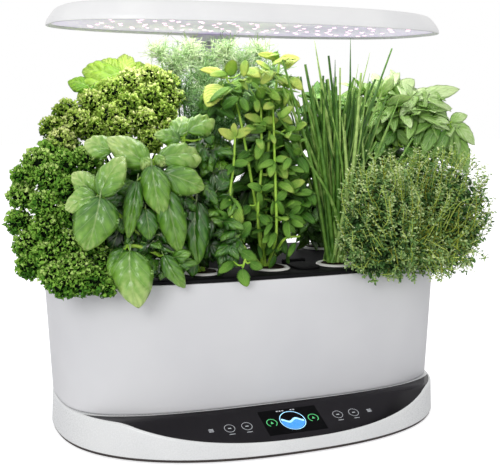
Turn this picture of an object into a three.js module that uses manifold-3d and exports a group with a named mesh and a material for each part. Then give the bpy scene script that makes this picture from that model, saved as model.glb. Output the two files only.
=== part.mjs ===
// Countertop hydroponic garden: a low oval base with a sloping control panel, a water bowl,
// a grow deck with nine seed pods and their herbs, and a lamp hood on a telescoping mast.
// Millimetres. +Z is up, +X is the user's right, the front faces -Y.
// The origin is on the table, under the middle of the base.
import * as THREE from 'three';
import { mergeVertices } from 'three/addons/utils/BufferGeometryUtils.js';
import Module from 'manifold-3d';

const wasm = await Module();
wasm.setup();

// Fits that every piece shares
const FIT = {
  gap: 0.3, // between pieces that rest on each other
  running: 0.5, // between pieces that slide
  overrun: 3, // how far a cutter passes the face that it cuts
};

// Facets round an outline, a hole and a small round
const SIDES = { outline: 48, tube: 12, hole: 16, basket: 12, small: 8, corner: 2 };

// The base: a dark pan on rubber feet under a white shell
const BASE = {
  width: 418,
  depth: 297,
  outlinePowerShare: 2.36,
  standHeight: 1.2,
  trimHeight: 2.8,
  trimInset: 0.8,
  deckHeight: 36.5,
  lean: 1.2,
  wall: 3,
  topRound: 2.4,
  upstandHeight: 5,
  upstandWall: 2,
  frontApron: 54.8, // from the front edge to the bowl's foot
  backApron: 49.8,
};
const FOOT = { radius: 9, height: 2.4, sideInset: 59, endInset: 64.5, recessDepth: 1.5 };

// The control panel, one plane that slopes to the front and flattens beside the bowl
const PANEL = {
  frontHeight: 14,
  slopeDegrees: 23.2,
  lipWidth: 1.6,
  lipStand: 1.7,
  thickness: 2.4,
  sink: 0.3,
  blend: 6,
  tuck: 1,
  innerWidth: 424,
};
const DISPLAY = {
  width: 63.2,
  height: 35.6,
  windowThickness: 1.1,
  moduleInset: 1.2,
  moduleDepth: 6,
  centreShare: 0.51,
};
const TOUCH_BOARD = { width: 168, height: 28, tabMargin: 2, thickness: 1.2 };
const MAIN_BOARD = {
  width: 130,
  depth: 70,
  thickness: 1.6,
  centreY: 20,
  standoffHeight: 6,
  standoffRadius: 3.2,
  cornerInset: 6,
  chipSize: 18,
  chipHeight: 3,
  canRadius: 5,
  canHeight: 12,
};
const INLET = {
  x: 70,
  z: 19,
  width: 15,
  height: 13,
  depth: 14,
  proud: 0.8,
  boreRadius: 4,
  boreDepth: 10,
  pinRadius: 1.2,
  pinDepth: 8,
};

// The water bowl
const BOWL = {
  footWidth: 412.6,
  footPowerShare: 3.2,
  rimWidth: 428.8,
  depthFlare: 12.6,
  rimPowerShare: 2.83,
  height: 127.3,
  wall: 2.4,
  floor: 3,
  footRound: 2.4,
};
// It stands between the base's front and back aprons
BOWL.footDepth = BASE.depth - BASE.frontApron - BASE.backApron;
BOWL.rimDepth = BOWL.footDepth + BOWL.depthFlare;
BOWL.centreY = (BASE.frontApron - BASE.backApron) / 2;

// The grow deck that closes the bowl and carries the pods
const DECK = {
  thickness: 3.6,
  edgeInset: 0.9,
  edgeRound: 0.9,
  skirtHeight: 9,
  skirtWall: 2,
};
// The two rows of pods, set in from the bowl's foot, with the shares of the pitch that they lie at
const LAYOUT = {
  sideInset: 58.3,
  frontInset: 31.7,
  backInset: 48.7,
  frontCount: 5,
  backCount: 4,
  frontRowShare: -0.838,
  backRowShare: 0.676,
};
LAYOUT.pitch = (BOWL.footWidth - 2 * LAYOUT.sideInset) / (LAYOUT.frontCount - 1);
LAYOUT.frontY = BOWL.centreY - BOWL.footDepth / 2 + LAYOUT.frontInset;
LAYOUT.backY = BOWL.centreY + BOWL.footDepth / 2 - LAYOUT.backInset;
const POD = {
  bodyRadius: 16.6,
  footRadius: 13.4,
  depth: 44,
  wall: 1.3,
  rimRadius: 20,
  rimHeight: 2.2,
  windowWidth: 6,
  windowHeight: 20,
};
const SPONGE = { looseness: 0.6, stand: 0.5, crown: 1.2 };

// The fill port between two front pods, and its flap
const PORT = {
  setBack: 18,
  length: 34,
  width: 22,
  corner: 8,
  flapOverlap: 3,
  flapThickness: 2,
  flapLift: 0.3,
  pinRadius: 1,
  knuckleRadius: 2.2,
  knuckleWidth: 18,
  lugWidth: 3.5,
  lugGap: 0.4,
  hingeSetBack: 3,
  hingeLift: 2.7,
};
PORT.x = LAYOUT.pitch / 2;
PORT.backY = LAYOUT.frontY + PORT.setBack;

// The pump, its filter and the riser, low in the bowl at the right
const PUMP = {
  sideInset: 48.3,
  y: 8,
  radius: 24,
  height: 30,
  floor: 12,
  chamberRadius: 18.5,
  coverHeight: 4,
  nozzleRadius: 4,
  nozzleBore: 2.4,
  nozzleHeight: 10,
  shaftRadius: 1.6,
  shaftDepth: 7,
  hubRadius: 5,
  bladeReach: 14.5,
  bladeThickness: 1.8,
  bladeCount: 6,
  impellerHeight: 11,
  intakeWidth: 16,
};
PUMP.x = BOWL.footWidth / 2 - PUMP.sideInset;
const RISER = { wall: 1.6, overlap: 7 };
const FILTER = { width: 22, depth: 34, height: 26, corner: 4 };

// The level float on its guide rod, low in the bowl at the left
const FLOAT = {
  sideInset: 28.3,
  y: 8,
  rodRadius: 2.6,
  rodHeight: 112,
  footRadius: 11,
  footHeight: 4,
  stopRadius: 5,
  stopHeight: 3,
  radius: 12,
  height: 20,
  round: 3,
};
FLOAT.x = FLOAT.sideInset - BOWL.footWidth / 2;

// The telescoping mast behind the bowl, three tubes with the widest at the bottom
const MAST = {
  backInset: 27.5,
  innerWidth: 20,
  innerDepth: 14,
  wall: 2,
  corner: 3.5,
  bottomStep: 4,
  outerHeight: 270,
  middleHeight: 310,
  collarHeight: 9,
  collarWall: 1.7,
  socketWall: 7,
  socketHeight: 42,
  socketFloor: 6,
  screwRadius: 1.6,
  screwHeadRadius: 3.4,
  screwHeadHeight: 1.6,
  screwLength: 8,
};
MAST.y = BASE.depth / 2 - MAST.backInset;

// The lamp hood
const HOOD = {
  width: 418,
  depth: 221,
  outlinePowerShare: 2.67,
  centreY: -2.5,
  rimHeight: 409.5,
  height: 21,
  wall: 2.4,
  lip: 2.2,
  shoulderInset: 6,
  shoulderHeight: 12.5,
  crownInset: 26,
  neckWidth: 46,
  neckBite: 18, // how far the neck reaches in over the hood
  neckHeight: 14,
  neckCorner: 9,
};
const BRACKET = { width: 38, height: 6.5, bite: 27, back: 13, corner: 6 };
const HOOD_BACK = HOOD.centreY + HOOD.depth / 2;
const NECK_BACK = MAST.y + BRACKET.back;
const LED = {
  panelThickness: 2,
  recess: 2.6,
  columns: 9,
  rows: 3,
  pitchX: 40,
  pitchY: 46,
  chip: 5,
  chipHeight: 0.9,
  slotWidth: 13,
  slotDepth: 3,
  slotX: 96,
  slotY: 62,
};
const HEAT_SINK = { width: 300, depth: 112, plate: 2, finHeight: 7, finThickness: 2, finCount: 9 };

// Colours of the finishes
const FINISH = {
  shell: { color: 0xdadbdb, roughness: 0.42 },
  bowl: { color: 0xd3d3d5, roughness: 0.4 },
  hood: { color: 0xe8e8e8, roughness: 0.38 },
  trim: { color: 0x3a322e, roughness: 0.6 },
  panel: { color: 0x252327, roughness: 0.22 },
  glass: { color: 0x050506, roughness: 0.08 },
  deck: { color: 0x1b1b1d, roughness: 0.5 },
  rubber: { color: 0x222222, roughness: 0.9 },
  board: { color: 0x1f4d34, roughness: 0.6 },
  mast: { color: 0xc9c8d0, roughness: 0.4 },
  steel: { color: 0xb4b6ba, roughness: 0.3, metalness: 1 },
  lamp: { color: 0xe9e6f4, roughness: 0.5 },
  aluminium: { color: 0xb9bcc0, roughness: 0.45, metalness: 1 },
  basket: { color: 0xe4e4e0, roughness: 0.5 },
  sponge: { color: 0x4a3526, roughness: 1 },
  pump: { color: 0x2b2d30, roughness: 0.5 },
  foam: { color: 0x30343a, roughness: 1 },
  float: { color: 0xe07b2c, roughness: 0.5 },
  parsley: { color: 0x2f6b22, roughness: 0.75 },
  basil: { color: 0x4f9a2c, roughness: 0.45 },
  dill: { color: 0x6f9a6a, roughness: 0.8 },
  mint: { color: 0x4c8c34, roughness: 0.6 },
  chives: { color: 0x4f8a3a, roughness: 0.5 },
  thyme: { color: 0x5f8a4c, roughness: 0.8 },
  thaiBasil: { color: 0x6cab45, roughness: 0.5 },
};

// Heights that stack up from the table
const HEIGHT = {};
HEIGHT.panTop = BASE.standHeight + BASE.trimHeight;
HEIGHT.shellBottom = HEIGHT.panTop + FIT.gap;
HEIGHT.deckUnder = BASE.deckHeight - BASE.wall;
HEIGHT.bowlBottom = BASE.deckHeight + FIT.gap;
HEIGHT.bowlFloor = HEIGHT.bowlBottom + BOWL.floor;
HEIGHT.bowlRim = HEIGHT.bowlBottom + BOWL.height;
HEIGHT.growUnder = HEIGHT.bowlRim + FIT.gap;
HEIGHT.growTop = HEIGHT.growUnder + DECK.thickness;
HEIGHT.podRim = HEIGHT.growTop + FIT.gap + POD.rimHeight;
HEIGHT.spongeTop = HEIGHT.podRim + SPONGE.stand;
HEIGHT.plantFoot = HEIGHT.spongeTop + FIT.gap;
HEIGHT.inBowl = HEIGHT.bowlFloor + FIT.gap;

// Solids from three.js geometry

// A closed geometry as a solid, whichever way its faces were wound
function solid(geometry) {
  const bare = geometry.clone();
  bare.deleteAttribute('normal');
  bare.deleteAttribute('uv');
  const merged = mergeVertices(bare);
  const place = merged.attributes.position;
  const corner = (index) => new THREE.Vector3().fromBufferAttribute(place, index);
  const faces = [];
  let volume = 0;
  for (let i = 0; i < merged.index.count; i += 3) {
    const [a, b, c] = [0, 1, 2].map((step) => merged.index.getX(i + step));
    if (a === b || b === c || c === a) continue;
    faces.push([a, b, c]);
    volume += corner(a).dot(corner(b).cross(corner(c)));
  }
  const outward = volume < 0 ? faces.map((face) => face.reverse()) : faces;
  return new wasm.Manifold(
    new wasm.Mesh({
      numProp: 3,
      vertProperties: new Float32Array(place.array),
      triVerts: new Uint32Array(outward.flat()),
    }),
  );
}

// A solid as a geometry for a mesh
function geometryOf(shape) {
  const mesh = shape.getMesh();
  const geometry = new THREE.BufferGeometry();
  geometry.setAttribute('position', new THREE.BufferAttribute(mesh.vertProperties, 3));
  geometry.setIndex(new THREE.BufferAttribute(mesh.triVerts, 1));
  geometry.computeVertexNormals();
  return geometry;
}

const join = (...shapes) => shapes.reduce((whole, shape) => whole.add(shape));
const cut = (whole, ...tools) => tools.reduce((rest, tool) => rest.subtract(tool), whole);

// A skin over a row of closed loops, each with the same number of points, closed at both ends
function skin(loops) {
  const count = loops[0].length;
  const total = (loop) => loop.reduce((sum, point) => sum.add(point), new THREE.Vector3());
  const middle = (loop) => total(loop).divideScalar(count);
  const points = [...loops.flat(), middle(loops[0]), middle(loops[loops.length - 1])];
  const firstCap = loops.length * count;
  const lastRow = (loops.length - 1) * count;
  const faces = [];
  for (let i = 0; i < count; i++) {
    const next = (i + 1) % count;
    faces.push(firstCap, next, i, firstCap + 1, lastRow + i, lastRow + next);
    for (let row = 0; row < lastRow; row += count) {
      faces.push(row + i, row + next, row + count + next, row + i, row + count + next, row + count + i);
    }
  }
  const geometry = new THREE.BufferGeometry();
  const places = points.flatMap((point) => point.toArray());
  geometry.setAttribute('position', new THREE.Float32BufferAttribute(places, 3));
  geometry.setIndex(faces);
  return solid(geometry);
}

// One loop of a rounded oval whose power sets how square it is
function oval(width, depth, powerShare, z, centreY = 0) {
  const round = (value) => Math.sign(value) * Math.abs(value) ** (2 / powerShare);
  return Array.from({ length: SIDES.outline }, (_, i) => {
    const turn = (i / SIDES.outline) * 2 * Math.PI;
    const x = (width / 2) * round(Math.cos(turn));
    return new THREE.Vector3(x, centreY + (depth / 2) * round(Math.sin(turn)), z);
  });
}

// How far such an oval reaches along Y at a place along X
function ovalReach(width, depth, powerShare, x) {
  return (depth / 2) * (1 - Math.abs((2 * x) / width) ** powerShare) ** (1 / powerShare);
}

// A shape in plan, pulled up from one height to another
function slab(shape, low, high, segments = SIDES.corner) {
  const options = { depth: high - low, bevelEnabled: false, curveSegments: segments };
  return solid(new THREE.ExtrudeGeometry(shape, options).translate(0, 0, low));
}

// A shape drawn in Y and Z, pulled along X about a middle
function acrossX(shape, width, x = 0) {
  const options = { depth: width, bevelEnabled: false, curveSegments: SIDES.small };
  const geometry = new THREE.ExtrudeGeometry(shape, options).translate(0, 0, x - width / 2);
  const [alongX, alongY, alongZ] = [0, 1, 2].map((axis) => new THREE.Vector3().setComponent(axis, 1));
  return solid(geometry.applyMatrix4(new THREE.Matrix4().makeBasis(alongY, alongZ, alongX)));
}

function roundedRectangle(width, depth, corner, x = 0, y = 0) {
  const [left, right, front, back] = [x - width / 2, x + width / 2, y - depth / 2, y + depth / 2];
  const shape = new THREE.Shape();
  shape.moveTo(left + corner, front);
  shape.lineTo(right - corner, front);
  shape.absarc(right - corner, front + corner, corner, -Math.PI / 2, 0);
  shape.lineTo(right, back - corner);
  shape.absarc(right - corner, back - corner, corner, 0, Math.PI / 2);
  shape.lineTo(left + corner, back);
  shape.absarc(left + corner, back - corner, corner, Math.PI / 2, Math.PI);
  shape.lineTo(left, front + corner);
  shape.absarc(left + corner, front + corner, corner, Math.PI, 1.5 * Math.PI);
  return shape;
}

// An upright bar with round corners
function bar(width, depth, corner, low, high, x = 0, y = 0) {
  return slab(roundedRectangle(width, depth, corner, x, y), low, high);
}

// A plain block between two opposite corners
function block(from, to) {
  const size = to.map((value, axis) => value - from[axis]);
  const middle = to.map((value, axis) => (value + from[axis]) / 2);
  return solid(new THREE.BoxGeometry(...size).translate(...middle));
}

// An upright round bar
function disc(radius, low, high, x = 0, y = 0, sides = SIDES.hole) {
  const geometry = new THREE.CylinderGeometry(radius, radius, high - low, sides).rotateX(Math.PI / 2);
  return solid(geometry.translate(x, y, (low + high) / 2));
}

// A round bar along X or Y
function pin(radius, from, to, axis, x, y, z, sides = SIDES.small) {
  const geometry = new THREE.CylinderGeometry(radius, radius, to - from, sides);
  const middle = (from + to) / 2;
  if (axis === 'x') return solid(geometry.rotateZ(Math.PI / 2).translate(middle, y, z));
  return solid(geometry.translate(x, middle, z));
}

// A profile of radius and height pairs turned about an upright axis
function turned(profile, x, y, sides = SIDES.basket) {
  const points = profile.map(([radius, height]) => new THREE.Vector2(radius, height));
  const geometry = new THREE.LatheGeometry(points, sides).rotateX(Math.PI / 2);
  return solid(geometry.translate(x, y, 0));
}

// The outlines of the three big mouldings

function baseRing(inset, z) {
  const rise = (z - HEIGHT.shellBottom) / (BASE.deckHeight - HEIGHT.shellBottom);
  const side = 2 * (inset + BASE.lean * THREE.MathUtils.clamp(rise, 0, 1));
  return oval(BASE.width - side, BASE.depth - side, BASE.outlinePowerShare, z);
}

function bowlRing(inset, z) {
  const rise = THREE.MathUtils.clamp((z - HEIGHT.bowlBottom) / BOWL.height, 0, 1);
  const width = THREE.MathUtils.lerp(BOWL.footWidth, BOWL.rimWidth, rise);
  const depth = THREE.MathUtils.lerp(BOWL.footDepth, BOWL.rimDepth, rise);
  const powerShare = THREE.MathUtils.lerp(BOWL.footPowerShare, BOWL.rimPowerShare, rise);
  return oval(width - 2 * inset, depth - 2 * inset, powerShare, z, BOWL.centreY);
}

function hoodRing(inset, z) {
  return oval(HOOD.width - 2 * inset, HOOD.depth - 2 * inset, HOOD.outlinePowerShare, z, HOOD.centreY);
}

// The deck-level outline of the base as an upright prism
function basePrism(inset, low, high) {
  const side = 2 * (inset + BASE.lean);
  const ring = (z) => oval(BASE.width - side, BASE.depth - side, BASE.outlinePowerShare, z);
  return skin([ring(low), ring(high)]);
}

// The sloping plane of the control panel

const SLOPE = THREE.MathUtils.degToRad(PANEL.slopeDegrees);
const PANEL_FLAT = BASE.deckHeight - PANEL.sink;
const PANEL_FRONT = PANEL.lipWidth - BASE.depth / 2;
const PANEL_DROP = PANEL.thickness / Math.cos(SLOPE);
const slopeHeight = (y) => PANEL.frontHeight + (y - PANEL_FRONT) * Math.tan(SLOPE);

// The side view of the slope, raised by a lift, with its blend into a flat at some height
function slopeCurve(lift, flat) {
  const start = PANEL_FRONT - PANEL.lipWidth - FIT.overrun;
  const bend = PANEL_FRONT + (flat - lift - PANEL.frontHeight) / Math.tan(SLOPE);
  const from = new THREE.Vector2(bend - PANEL.blend, slopeHeight(bend - PANEL.blend) + lift);
  const curve = new THREE.QuadraticBezierCurve(
    from,
    new THREE.Vector2(bend, flat),
    new THREE.Vector2(bend + PANEL.blend, flat),
  );
  return [new THREE.Vector2(start, slopeHeight(start) + lift), ...curve.getPoints(SIDES.corner * 2)];
}

// Everything above that curve, as a cutter
function aboveSlope(lift, flat, back) {
  const curve = slopeCurve(lift, flat);
  const top = BASE.deckHeight + FIT.overrun;
  const end = back === undefined ? [] : [new THREE.Vector2(back, flat)];
  const last = end.length ? back : curve[curve.length - 1].x;
  const lid = [new THREE.Vector2(last, top), new THREE.Vector2(curve[0].x, top)];
  return acrossX(new THREE.Shape([...curve, ...end, ...lid]), BASE.width + FIT.overrun);
}

// The crescent between the base's edge and the bowl's foot, pointed at both ends
function crescent(inset, low, high) {
  const depth = BOWL.footDepth - 2 * PANEL.tuck;
  const ring = (z) => oval(PANEL.innerWidth, depth, BOWL.footPowerShare, z, BOWL.centreY);
  const inner = skin([ring(low - FIT.overrun), ring(high + FIT.overrun)]);
  const behind = block(
    [-BASE.width, -BOWL.footDepth / 4, low - FIT.overrun],
    [BASE.width, BASE.depth, high + FIT.overrun],
  );
  return cut(basePrism(inset, low, high), inner, behind);
}

// The middle of the display, on the panel's face
const DISPLAY_Y = THREE.MathUtils.lerp(PANEL_FRONT, BOWL.centreY - BOWL.footDepth / 2, DISPLAY.centreShare);
const ON_PANEL = new THREE.Matrix4()
  .makeTranslation(0, DISPLAY_Y, slopeHeight(DISPLAY_Y))
  .multiply(new THREE.Matrix4().makeRotationX(SLOPE));

// A plate that lies in the panel's plane, from one depth under its face to another
function panelPlate(width, height, corner, top, bottom) {
  const options = { depth: bottom - top, bevelEnabled: false, curveSegments: SIDES.corner };
  const shape = roundedRectangle(width, height, corner);
  const geometry = new THREE.ExtrudeGeometry(shape, options).translate(0, 0, -bottom);
  return solid(geometry.applyMatrix4(ON_PANEL));
}

// Places that several pieces share

const mastBar = (grow) => [
  MAST.innerWidth + 2 * grow,
  MAST.innerDepth + 2 * grow,
  MAST.corner + grow,
];
const MIDDLE_GROW = FIT.running + MAST.wall;
const OUTER_GROW = 2 * MIDDLE_GROW;

function mastPost(grow, low, high) {
  const [width, depth, corner] = mastBar(grow);
  return bar(width, depth, corner, low, high, 0, MAST.y);
}

function footPlaces() {
  const [x, y] = [BASE.width / 2 - FOOT.sideInset, BASE.depth / 2 - FOOT.endInset];
  return [-x, x].flatMap((across) => [-y, y].map((deep) => [across, deep]));
}

function screwPlaces() {
  const side = (mastBar(OUTER_GROW)[0] + MAST.socketWall) / 2 + FIT.gap;
  return [-side, side].map((x) => [x, MAST.y]);
}

function boardCorners() {
  const [x, y] = [MAIN_BOARD.width, MAIN_BOARD.depth].map((size) => size / 2 - MAIN_BOARD.cornerInset);
  return [-x, x].flatMap((across) => [-y, y].map((deep) => [across, MAIN_BOARD.centreY + deep]));
}

function podPlaces() {
  const row = (count, y) =>
    Array.from({ length: count }, (_, i) => [(i - (count - 1) / 2) * LAYOUT.pitch, y]);
  return [...row(LAYOUT.frontCount, LAYOUT.frontY), ...row(LAYOUT.backCount, LAYOUT.backY)];
}

// The base

function basePan() {
  const ring = (inset, z) => oval(BASE.width - 2 * inset, BASE.depth - 2 * inset, BASE.outlinePowerShare, z);
  const plate = skin([
    ring(BASE.trimInset + BASE.trimHeight / 2, BASE.standHeight),
    ring(BASE.trimInset, BASE.standHeight + BASE.trimHeight / 2),
    ring(BASE.trimInset, HEIGHT.panTop),
  ]);
  const upstandTop = HEIGHT.panTop + BASE.upstandHeight;
  const upstandInset = BASE.wall + FIT.gap + BASE.lean;
  const upstand = cut(
    skin([ring(upstandInset, HEIGHT.panTop - BASE.trimHeight / 2), ring(upstandInset, upstandTop)]),
    skin([
      ring(upstandInset + BASE.upstandWall, HEIGHT.panTop - BASE.trimHeight),
      ring(upstandInset + BASE.upstandWall, upstandTop + FIT.overrun),
    ]),
  );
  const standoffTop = HEIGHT.panTop + MAIN_BOARD.standoffHeight;
  const standoffs = boardCorners().map(([x, y]) =>
    disc(MAIN_BOARD.standoffRadius, BASE.standHeight + BASE.trimHeight / 2, standoffTop, x, y, SIDES.small),
  );
  const below = BASE.standHeight - FIT.overrun;
  const recesses = footPlaces().map(([x, y]) =>
    disc(FOOT.radius + FIT.gap, below, BASE.standHeight + FOOT.recessDepth, x, y, SIDES.tube),
  );
  const screwHoles = screwPlaces().flatMap(([x, y]) => [
    disc(MAST.screwHeadRadius + FIT.gap, below, BASE.standHeight + MAST.screwHeadHeight, x, y, SIDES.small),
    disc(MAST.screwRadius + FIT.gap, below, HEIGHT.panTop + FIT.overrun, x, y, SIDES.small),
  ]);
  return cut(join(plate, upstand, ...standoffs), ...recesses, ...screwHoles);
}

function foot(x, y) {
  const top = BASE.standHeight + FOOT.recessDepth - FIT.gap;
  const edge = FOOT.height / 4;
  const profile = [
    [0, 0],
    [FOOT.radius - edge, 0],
    [FOOT.radius, edge],
    [FOOT.radius, top],
    [0, top],
  ];
  return turned(profile, x, y, SIDES.tube);
}

function baseShell() {
  const straightTop = BASE.deckHeight - BASE.topRound;
  const rounding = [0, 1, 2, 3].map((step) => {
    const turn = (step / 3) * (Math.PI / 2);
    const inset = BASE.topRound * (1 - Math.cos(turn));
    return baseRing(inset, straightTop + BASE.topRound * Math.sin(turn));
  });
  const outside = skin([baseRing(0, HEIGHT.shellBottom), ...rounding]);
  const inside = skin([
    baseRing(BASE.wall, HEIGHT.shellBottom - FIT.overrun),
    baseRing(BASE.wall, HEIGHT.deckUnder),
  ]);
  const recess = crescent(PANEL.lipWidth, 0, BASE.deckHeight + 2 * FIT.overrun).intersect(
    aboveSlope(-PANEL_DROP - FIT.gap, PANEL_FLAT - PANEL_DROP - FIT.gap, 0),
  );
  const innerWidth = PANEL.innerWidth;
  const innerDepth = BOWL.footDepth - 2 * PANEL.tuck;
  const innerRing = (z) => oval(innerWidth, innerDepth, BOWL.footPowerShare, z, BOWL.centreY);
  const lipCut = cut(
    aboveSlope(PANEL.lipStand, BASE.deckHeight),
    skin([innerRing(0), innerRing(BASE.deckHeight + 2 * FIT.overrun)]),
  );
  const [socketWidth, socketDepth, socketCorner] = socketBar(FIT.gap);
  const socketHole = bar(
    socketWidth,
    socketDepth,
    socketCorner,
    HEIGHT.deckUnder - FIT.overrun,
    BASE.deckHeight + FIT.overrun,
    0,
    MAST.y,
  );
  const back = BASE.depth / 2;
  const inletHole = block(
    [INLET.x - INLET.width / 2 - FIT.gap, back / 2, INLET.z - INLET.height / 2 - FIT.gap],
    [INLET.x + INLET.width / 2 + FIT.gap, back + FIT.overrun, INLET.z + INLET.height / 2 + FIT.gap],
  );
  return cut(outside, inside, recess, lipCut, socketHole, inletHole);
}

function controlPanel() {
  const band = cut(aboveSlope(-PANEL_DROP, PANEL_FLAT - PANEL_DROP, 0), aboveSlope(0, PANEL_FLAT, 0));
  const plate = crescent(PANEL.lipWidth + FIT.gap, 0, BASE.deckHeight).intersect(band);
  const window = panelPlate(
    DISPLAY.width + 2 * FIT.gap,
    DISPLAY.height + 2 * FIT.gap,
    FIT.running,
    -FIT.overrun,
    PANEL.thickness + FIT.overrun,
  );
  return cut(plate, window);
}

function displayModule() {
  const [width, height] = [DISPLAY.width, DISPLAY.height].map((size) => size - 2 * DISPLAY.moduleInset);
  const top = DISPLAY.windowThickness + FIT.gap;
  return panelPlate(width, height, FIT.running, top, top + DISPLAY.moduleDepth);
}

function touchBoard() {
  const top = PANEL.thickness + FIT.gap;
  const bottom = top + TOUCH_BOARD.thickness;
  const margin = 2 * TOUCH_BOARD.tabMargin;
  const [tabWidth, tabHeight] = [DISPLAY.width + margin, DISPLAY.height + margin];
  return cut(
    join(
      panelPlate(TOUCH_BOARD.width, TOUCH_BOARD.height, TOUCH_BOARD.tabMargin, top, bottom),
      panelPlate(tabWidth, tabHeight, TOUCH_BOARD.tabMargin, top, bottom),
    ),
    panelPlate(DISPLAY.width, DISPLAY.height, FIT.running, 0, bottom + FIT.overrun),
  );
}

function mainBoard() {
  const low = HEIGHT.panTop + MAIN_BOARD.standoffHeight + FIT.gap;
  const high = low + MAIN_BOARD.thickness;
  const sunk = high - MAIN_BOARD.thickness / 2;
  const quarter = MAIN_BOARD.width / 4;
  return join(
    bar(MAIN_BOARD.width, MAIN_BOARD.depth, MAIN_BOARD.thickness, low, high, 0, MAIN_BOARD.centreY),
    bar(
      MAIN_BOARD.chipSize,
      MAIN_BOARD.chipSize,
      MAIN_BOARD.thickness,
      sunk,
      high + MAIN_BOARD.chipHeight,
      -quarter / 2,
      MAIN_BOARD.centreY,
    ),
    disc(MAIN_BOARD.canRadius, sunk, high + MAIN_BOARD.canHeight, quarter, MAIN_BOARD.centreY, SIDES.small),
  );
}

function powerInlet() {
  const wall = ovalReach(BASE.width, BASE.depth, BASE.outlinePowerShare, INLET.x);
  const mouth = wall + INLET.proud;
  const body = block(
    [INLET.x - INLET.width / 2, mouth - INLET.depth, INLET.z - INLET.height / 2],
    [INLET.x + INLET.width / 2, mouth, INLET.z + INLET.height / 2],
  );
  const floor = mouth - INLET.boreDepth;
  const bore = pin(INLET.boreRadius, floor, mouth + FIT.overrun, 'y', INLET.x, 0, INLET.z, SIDES.tube);
  const [sunk, tip] = [floor - INLET.pinRadius, floor + INLET.pinDepth];
  const contact = pin(INLET.pinRadius, sunk, tip, 'y', INLET.x, 0, INLET.z);
  return join(cut(body, bore), contact);
}

// The mast

const socketBar = (grow) => {
  const [width, depth, corner] = mastBar(OUTER_GROW);
  const wall = 2 * (MAST.socketWall + grow);
  return [width + wall, depth + wall / 2, corner + MAST.socketWall / 2 + grow];
};

function mastSocket() {
  const low = HEIGHT.panTop + FIT.gap;
  const [width, depth, corner] = socketBar(0);
  const pocketFloor = low + MAST.socketFloor;
  const screwHoles = screwPlaces().map(([x, y]) =>
    disc(MAST.screwRadius + FIT.gap, low - FIT.overrun, low + MAST.screwLength, x, y, SIDES.small),
  );
  return cut(
    bar(width, depth, corner, low, low + MAST.socketHeight, 0, MAST.y),
    mastPost(OUTER_GROW + FIT.gap, pocketFloor, low + MAST.socketHeight + FIT.overrun),
    ...screwHoles,
  );
}

function mastScrew(x, y) {
  const low = BASE.standHeight + FIT.gap;
  const neck = BASE.standHeight + MAST.screwHeadHeight - FIT.gap;
  const tip = HEIGHT.panTop + MAST.screwLength - FIT.gap;
  const profile = [
    [0, low],
    [MAST.screwHeadRadius, low],
    [MAST.screwHeadRadius, neck],
    [MAST.screwRadius, neck],
    [MAST.screwRadius, tip - MAST.screwRadius],
    [0, tip],
  ];
  return turned(profile, x, y, SIDES.small);
}

// Where each tube of the mast starts
const OUTER_BOTTOM = HEIGHT.panTop + FIT.gap + MAST.socketFloor + FIT.gap;
const MIDDLE_BOTTOM = OUTER_BOTTOM + MAST.bottomStep;
const INNER_BOTTOM = MIDDLE_BOTTOM + MAST.bottomStep;
const BRACKET_TOP = HOOD.rimHeight - FIT.gap;
const INNER_TOP = BRACKET_TOP - MAST.wall - FIT.gap;

// A tube with a collar round its top
function mastTube(grow, bottom, top) {
  return cut(
    join(
      mastPost(grow, bottom, top),
      mastPost(grow + MAST.collarWall, top - MAST.collarHeight, top),
    ),
    mastPost(grow - MAST.wall, bottom - FIT.overrun, top + FIT.overrun),
  );
}

function mastInner() {
  return cut(
    mastPost(0, INNER_BOTTOM, INNER_TOP),
    mastPost(-MAST.wall, INNER_BOTTOM - FIT.overrun, INNER_TOP - MAST.wall),
  );
}

// The hood

function hoodBracket() {
  const front = HOOD_BACK - BRACKET.bite;
  const depth = NECK_BACK - front;
  const low = BRACKET_TOP - BRACKET.height;
  return cut(
    bar(BRACKET.width, depth, BRACKET.corner, low, BRACKET_TOP, 0, front + depth / 2),
    mastPost(FIT.gap, low - FIT.overrun, INNER_TOP + FIT.gap),
  );
}

function hoodShell() {
  const top = HOOD.rimHeight + HOOD.height;
  const shoulder = HOOD.rimHeight + HOOD.shoulderHeight;
  const rest = HOOD.height - HOOD.shoulderHeight;
  // Rings from the shoulder over to the crown: shares of the way in and of the way up
  const overShares = [
    [0.16, 0.42],
    [0.42, 0.72],
    [1, 0.92],
  ];
  const over = (wall) =>
    overShares.map(([inShare, upShare]) =>
      hoodRing(
        wall + THREE.MathUtils.lerp(HOOD.shoulderInset, HOOD.crownInset, inShare),
        shoulder - wall + rest * upShare,
      ),
    );
  const crown = (wall) => hoodRing(HOOD.depth / 4, top - wall);
  const outside = skin([
    hoodRing(0, HOOD.rimHeight),
    hoodRing(0, HOOD.rimHeight + HOOD.lip),
    hoodRing(HOOD.shoulderInset, shoulder),
    ...over(0),
    crown(0),
  ]);
  const inside = skin([
    hoodRing(HOOD.wall, HOOD.rimHeight - FIT.overrun),
    hoodRing(HOOD.wall, HOOD.rimHeight + HOOD.lip),
    hoodRing(HOOD.wall + HOOD.shoulderInset, shoulder - HOOD.wall),
    over(HOOD.wall)[1],
    crown(HOOD.wall),
  ]);
  const neckFront = HOOD_BACK - HOOD.neckBite;
  const neckDepth = NECK_BACK - neckFront;
  const neck = bar(
    HOOD.neckWidth,
    neckDepth,
    HOOD.neckCorner,
    HOOD.rimHeight,
    HOOD.rimHeight + HOOD.neckHeight,
    0,
    neckFront + neckDepth / 2,
  );
  return cut(join(outside, neck), inside);
}

const LED_LOW = HOOD.rimHeight + LED.recess;
const LED_TOP = LED_LOW + LED.panelThickness;

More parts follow.
